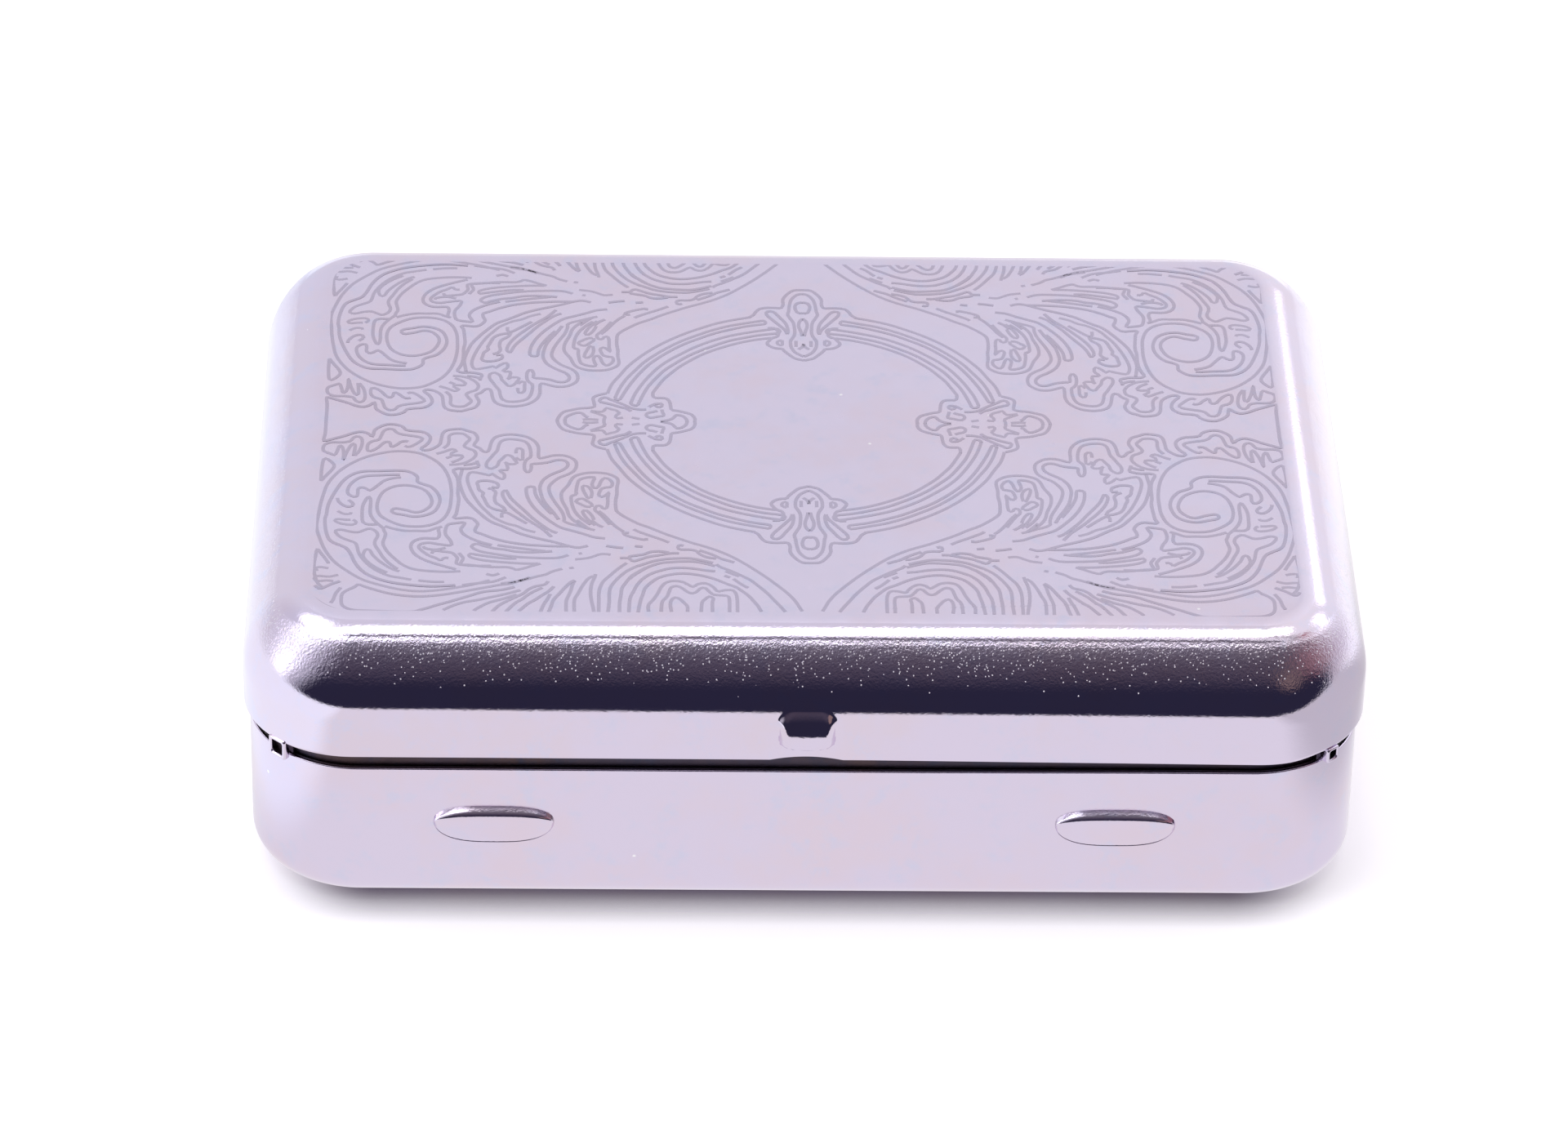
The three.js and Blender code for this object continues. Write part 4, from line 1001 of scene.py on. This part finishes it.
def metal(material, clean, warm, cool, roughness, spread, bump, speck_share=0.0, worn=False,
          speck_size=900.0):
    tree = blank_tree(material)
    place = add_node(tree, "ShaderNodeTexCoord").outputs["Object"]
    tint = use_group(tree, clouds, Vector=place, Size=TARNISH_SIZE, Clean=clean + (1.0,),
                     Warm=warm + (1.0,), Cool=cool + (1.0,))
    grainy = use_group(tree, grain, Vector=place, Size=GRAIN_SIZE, Roughness=roughness, Spread=spread)
    specked = use_group(tree, specks, Vector=place, Size=speck_size, Share=speck_share)
    shader = add_node(tree, "ShaderNodeBsdfPrincipled", {"Metallic": 1.0})
    rough, height, speck = grainy.outputs["Roughness"], grainy.outputs["Height"], specked.outputs["Mask"]
    if worn:
        share = use_group(tree, wear, Vector=place).outputs["Share"]
        rough = lean(tree, rough, share, 0.12)
        height = product(tree, height, math_node(tree, "ADD", 0.10, share))
        crowd = product(tree, math_node(tree, "POWER", share, 3.0), speck_share)
        link(tree, crowd, specked.inputs["Share"])
    colour = mix_colour(tree, speck, tint.outputs["Color"], SPECK_TINT)
    link(tree, colour, shader.inputs["Base Color"])
    link(tree, lean(tree, rough, speck, -0.1), shader.inputs["Roughness"])
    relief = add_node(tree, "ShaderNodeBump", {"Strength": bump, "Distance": BUMP_DEPTH})
    link(tree, lean(tree, height, speck, 1.2), relief.inputs["Height"])
    link(tree, relief.outputs[0], shader.inputs["Normal"])
    link(tree, shader.outputs[0], add_node(tree, "ShaderNodeOutputMaterial").inputs["Surface"])
    return material


new_material = bpy.data.materials.new
satin = metal(new_material("satin_nickel"), (0.74, 0.68, 0.83), (0.75, 0.66, 0.78), (0.68, 0.66, 0.82),
              roughness=0.24, spread=0.08, bump=0.16, speck_share=0.0015, speck_size=1400.0)
polished = metal(new_material("polished_nickel"), (0.74, 0.67, 0.82), (0.75, 0.66, 0.77),
                 (0.70, 0.67, 0.83), roughness=0.055, spread=0.02, bump=0.85, speck_share=0.34,
                 worn=True, speck_size=4600.0)
bright = metal(new_material("bright_nickel"), (0.74, 0.67, 0.82), (0.76, 0.66, 0.77), (0.69, 0.67, 0.83),
               roughness=0.12, spread=0.06, bump=0.16, speck_share=0.0005, speck_size=1400.0)
inside = metal(new_material("inner_nickel"), (0.74, 0.71, 0.77), (0.73, 0.68, 0.71), (0.69, 0.68, 0.75),
               roughness=0.36, spread=0.05, bump=0.18)
spring = metal(new_material("spring_steel"), (0.60, 0.59, 0.62), (0.56, 0.52, 0.50), (0.50, 0.52, 0.60),
               roughness=0.26, spread=0.12, bump=0.25, speck_share=0.005)
# Near-black steel: painted shade, for the catch strip seen in the seam gap and for the holes of the pips.
shade_black_steel = metal(new_material("painted_shade_steel"), (0.085, 0.070, 0.100), (0.11, 0.075, 0.08),
             (0.07, 0.07, 0.11), roughness=0.42, spread=0.10, bump=0.25)
metal(etch_material, (0.53, 0.485, 0.61), (0.53, 0.465, 0.57), (0.49, 0.47, 0.61),
      roughness=0.28, spread=0.08, bump=0.16)

# %% [markdown]
# The lid's flat top was rubbed and etched, so it is satin, while its shoulder and skirt kept the
# polish of the plating, and the insides are duller. The faces are sorted by where they lie.

# %% Dress the pieces
HALF_HEIGHT = 14


def sort_faces(piece, rule, materials):
    for material in materials:
        piece.data.materials.append(material)
    for face in piece.data.polygons:
        face.material_index = rule(face.center / MM, face.normal)


def lid_rule(centre, normal):
    """0 on the flat top, 1 on the rest of the outside, 2 inside."""
    if centre.z > TOP - 0.15 and normal.z > 0.9:
        return 0
    away = Vector((centre.x, centre.y - MIDDLE_Y, 1.2 * (centre.z - HALF_HEIGHT)))
    return 1 if normal.dot(away) > 0 else 2


def base_rule(centre, normal):
    """0 outside, 1 inside."""
    away = Vector((centre.x, centre.y - MIDDLE_Y, 1.6 * (centre.z - HALF_HEIGHT)))
    return 0 if normal.dot(away) > 0 else 1


sort_faces(lid_skin, lid_rule, (satin, polished, inside))
sort_faces(base_skin, base_rule, (bright, inside))
for piece, body, node in ((lid_skin, "lid", "lid_shell"), (base_skin, "base", "base_shell")):
    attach(piece, body)
    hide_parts(node)
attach(ornament, "lid")

# %% [markdown]
# Near each end of the spring strip a pip stands out through the seam and takes the lid's sideways
# play: a short square eyelet, bright from wear, whose hole is lined with near-black steel as painted
# shade. It is a stack of rounded squares of growing and shrinking size, closed by a floor inside the
# hole. The left one has a wider head.

# %% Eyelet pips at the seam
PIP_ANGLE, PIP_BACK, PIP_Z = math.radians(42.5), 9.3, 15.25
HOLE_MOUTH = 1.34
# half width and distance from the back of each square in the stack
PIP_ROWS = [(0.67, 0.0), (0.73, 0.02), (0.73, 1.35), (0.71, 1.46), (0.65, 1.54), (0.58, 1.56),
            (0.51, 1.54), (0.45, 1.46), (0.43, 1.35), (0.43, 0.75)]
WIDE_ROWS = [(0.67, 0.0), (0.73, 0.02), (0.73, 0.84), (0.94, 0.88), (1.0, 0.96), (1.0, 1.35),
             (0.97, 1.47), (0.89, 1.54), (0.80, 1.56), (0.71, 1.53), (0.65, 1.46), (0.62, 1.35),
             (0.62, 0.92)]


def rounded_square(half, corner=0.22, steps=6):
    inset = half - min(corner, half * 0.6)
    ring, turn = [], math.pi / 2
    for quarter in range(4):
        middle = math.pi / 4 + quarter * turn
        across, rise = math.copysign(inset, math.cos(middle)), math.copysign(inset, math.sin(middle))
        for t in np.linspace(quarter * turn, (quarter + 1) * turn, steps):
            ring.append((across + (half - inset) * math.cos(t), rise + (half - inset) * math.sin(t)))
    return ring


for sign, label, rows in ((-1, "left", WIDE_ROWS), (1, "right", PIP_ROWS)):
    out = np.array([sign * math.sin(PIP_ANGLE), -math.cos(PIP_ANGLE), 0])
    along = np.array([-out[1], out[0], 0])
    foot = np.array([sign * (BASE_HALF[0] - PLAN_RADIUS), PLAN_RADIUS - BASE_HALF[1] + MIDDLE_Y, PIP_Z])
    stack = np.array([[foot + out * (PIP_BACK + depth) + along * a + np.array([0, 0, b])
                       for a, b in rounded_square(half)] for half, depth in rows])
    pip = finish_mesh("seam_pip_" + label, stack)
    hole_half = rows[-1][0] + 0.01

    def pip_rule(centre, normal):
        """Near-black steel as painted shade inside the hole, bright nickel elsewhere."""
        off = Vector(centre) - Vector(foot)
        deep = off.dot(Vector(out)) < PIP_BACK + HOLE_MOUTH
        within = max(abs(off.z), abs(off.dot(Vector(along)))) < hole_half
        return 1 if deep and within else 0

    sort_faces(pip, pip_rule, (bright, shade_black_steel))
    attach(pip, "base")

# %% [markdown]
# The pieces that stay as they came from the solids get the matching metals.

# %% Finishes of the carried-over solids
# The catch strip takes the near-black steel whose colour paints the shade of the seam.
FINISH = {"front_catch_strip": shade_black_steel, "hinge_pin": spring, "paper_flap_pin": spring,
          "flap_spring_left": spring, "flap_spring_right": spring, "base_hinge_leaf": inside,
          "lid_hinge_leaf": inside, "flap_bracket_left": inside, "flap_bracket_right": inside,
          "paper_flap": inside}
for name, material in FINISH.items():
    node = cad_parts[name]
    node.data.materials.clear()
    node.data.materials.append(material)
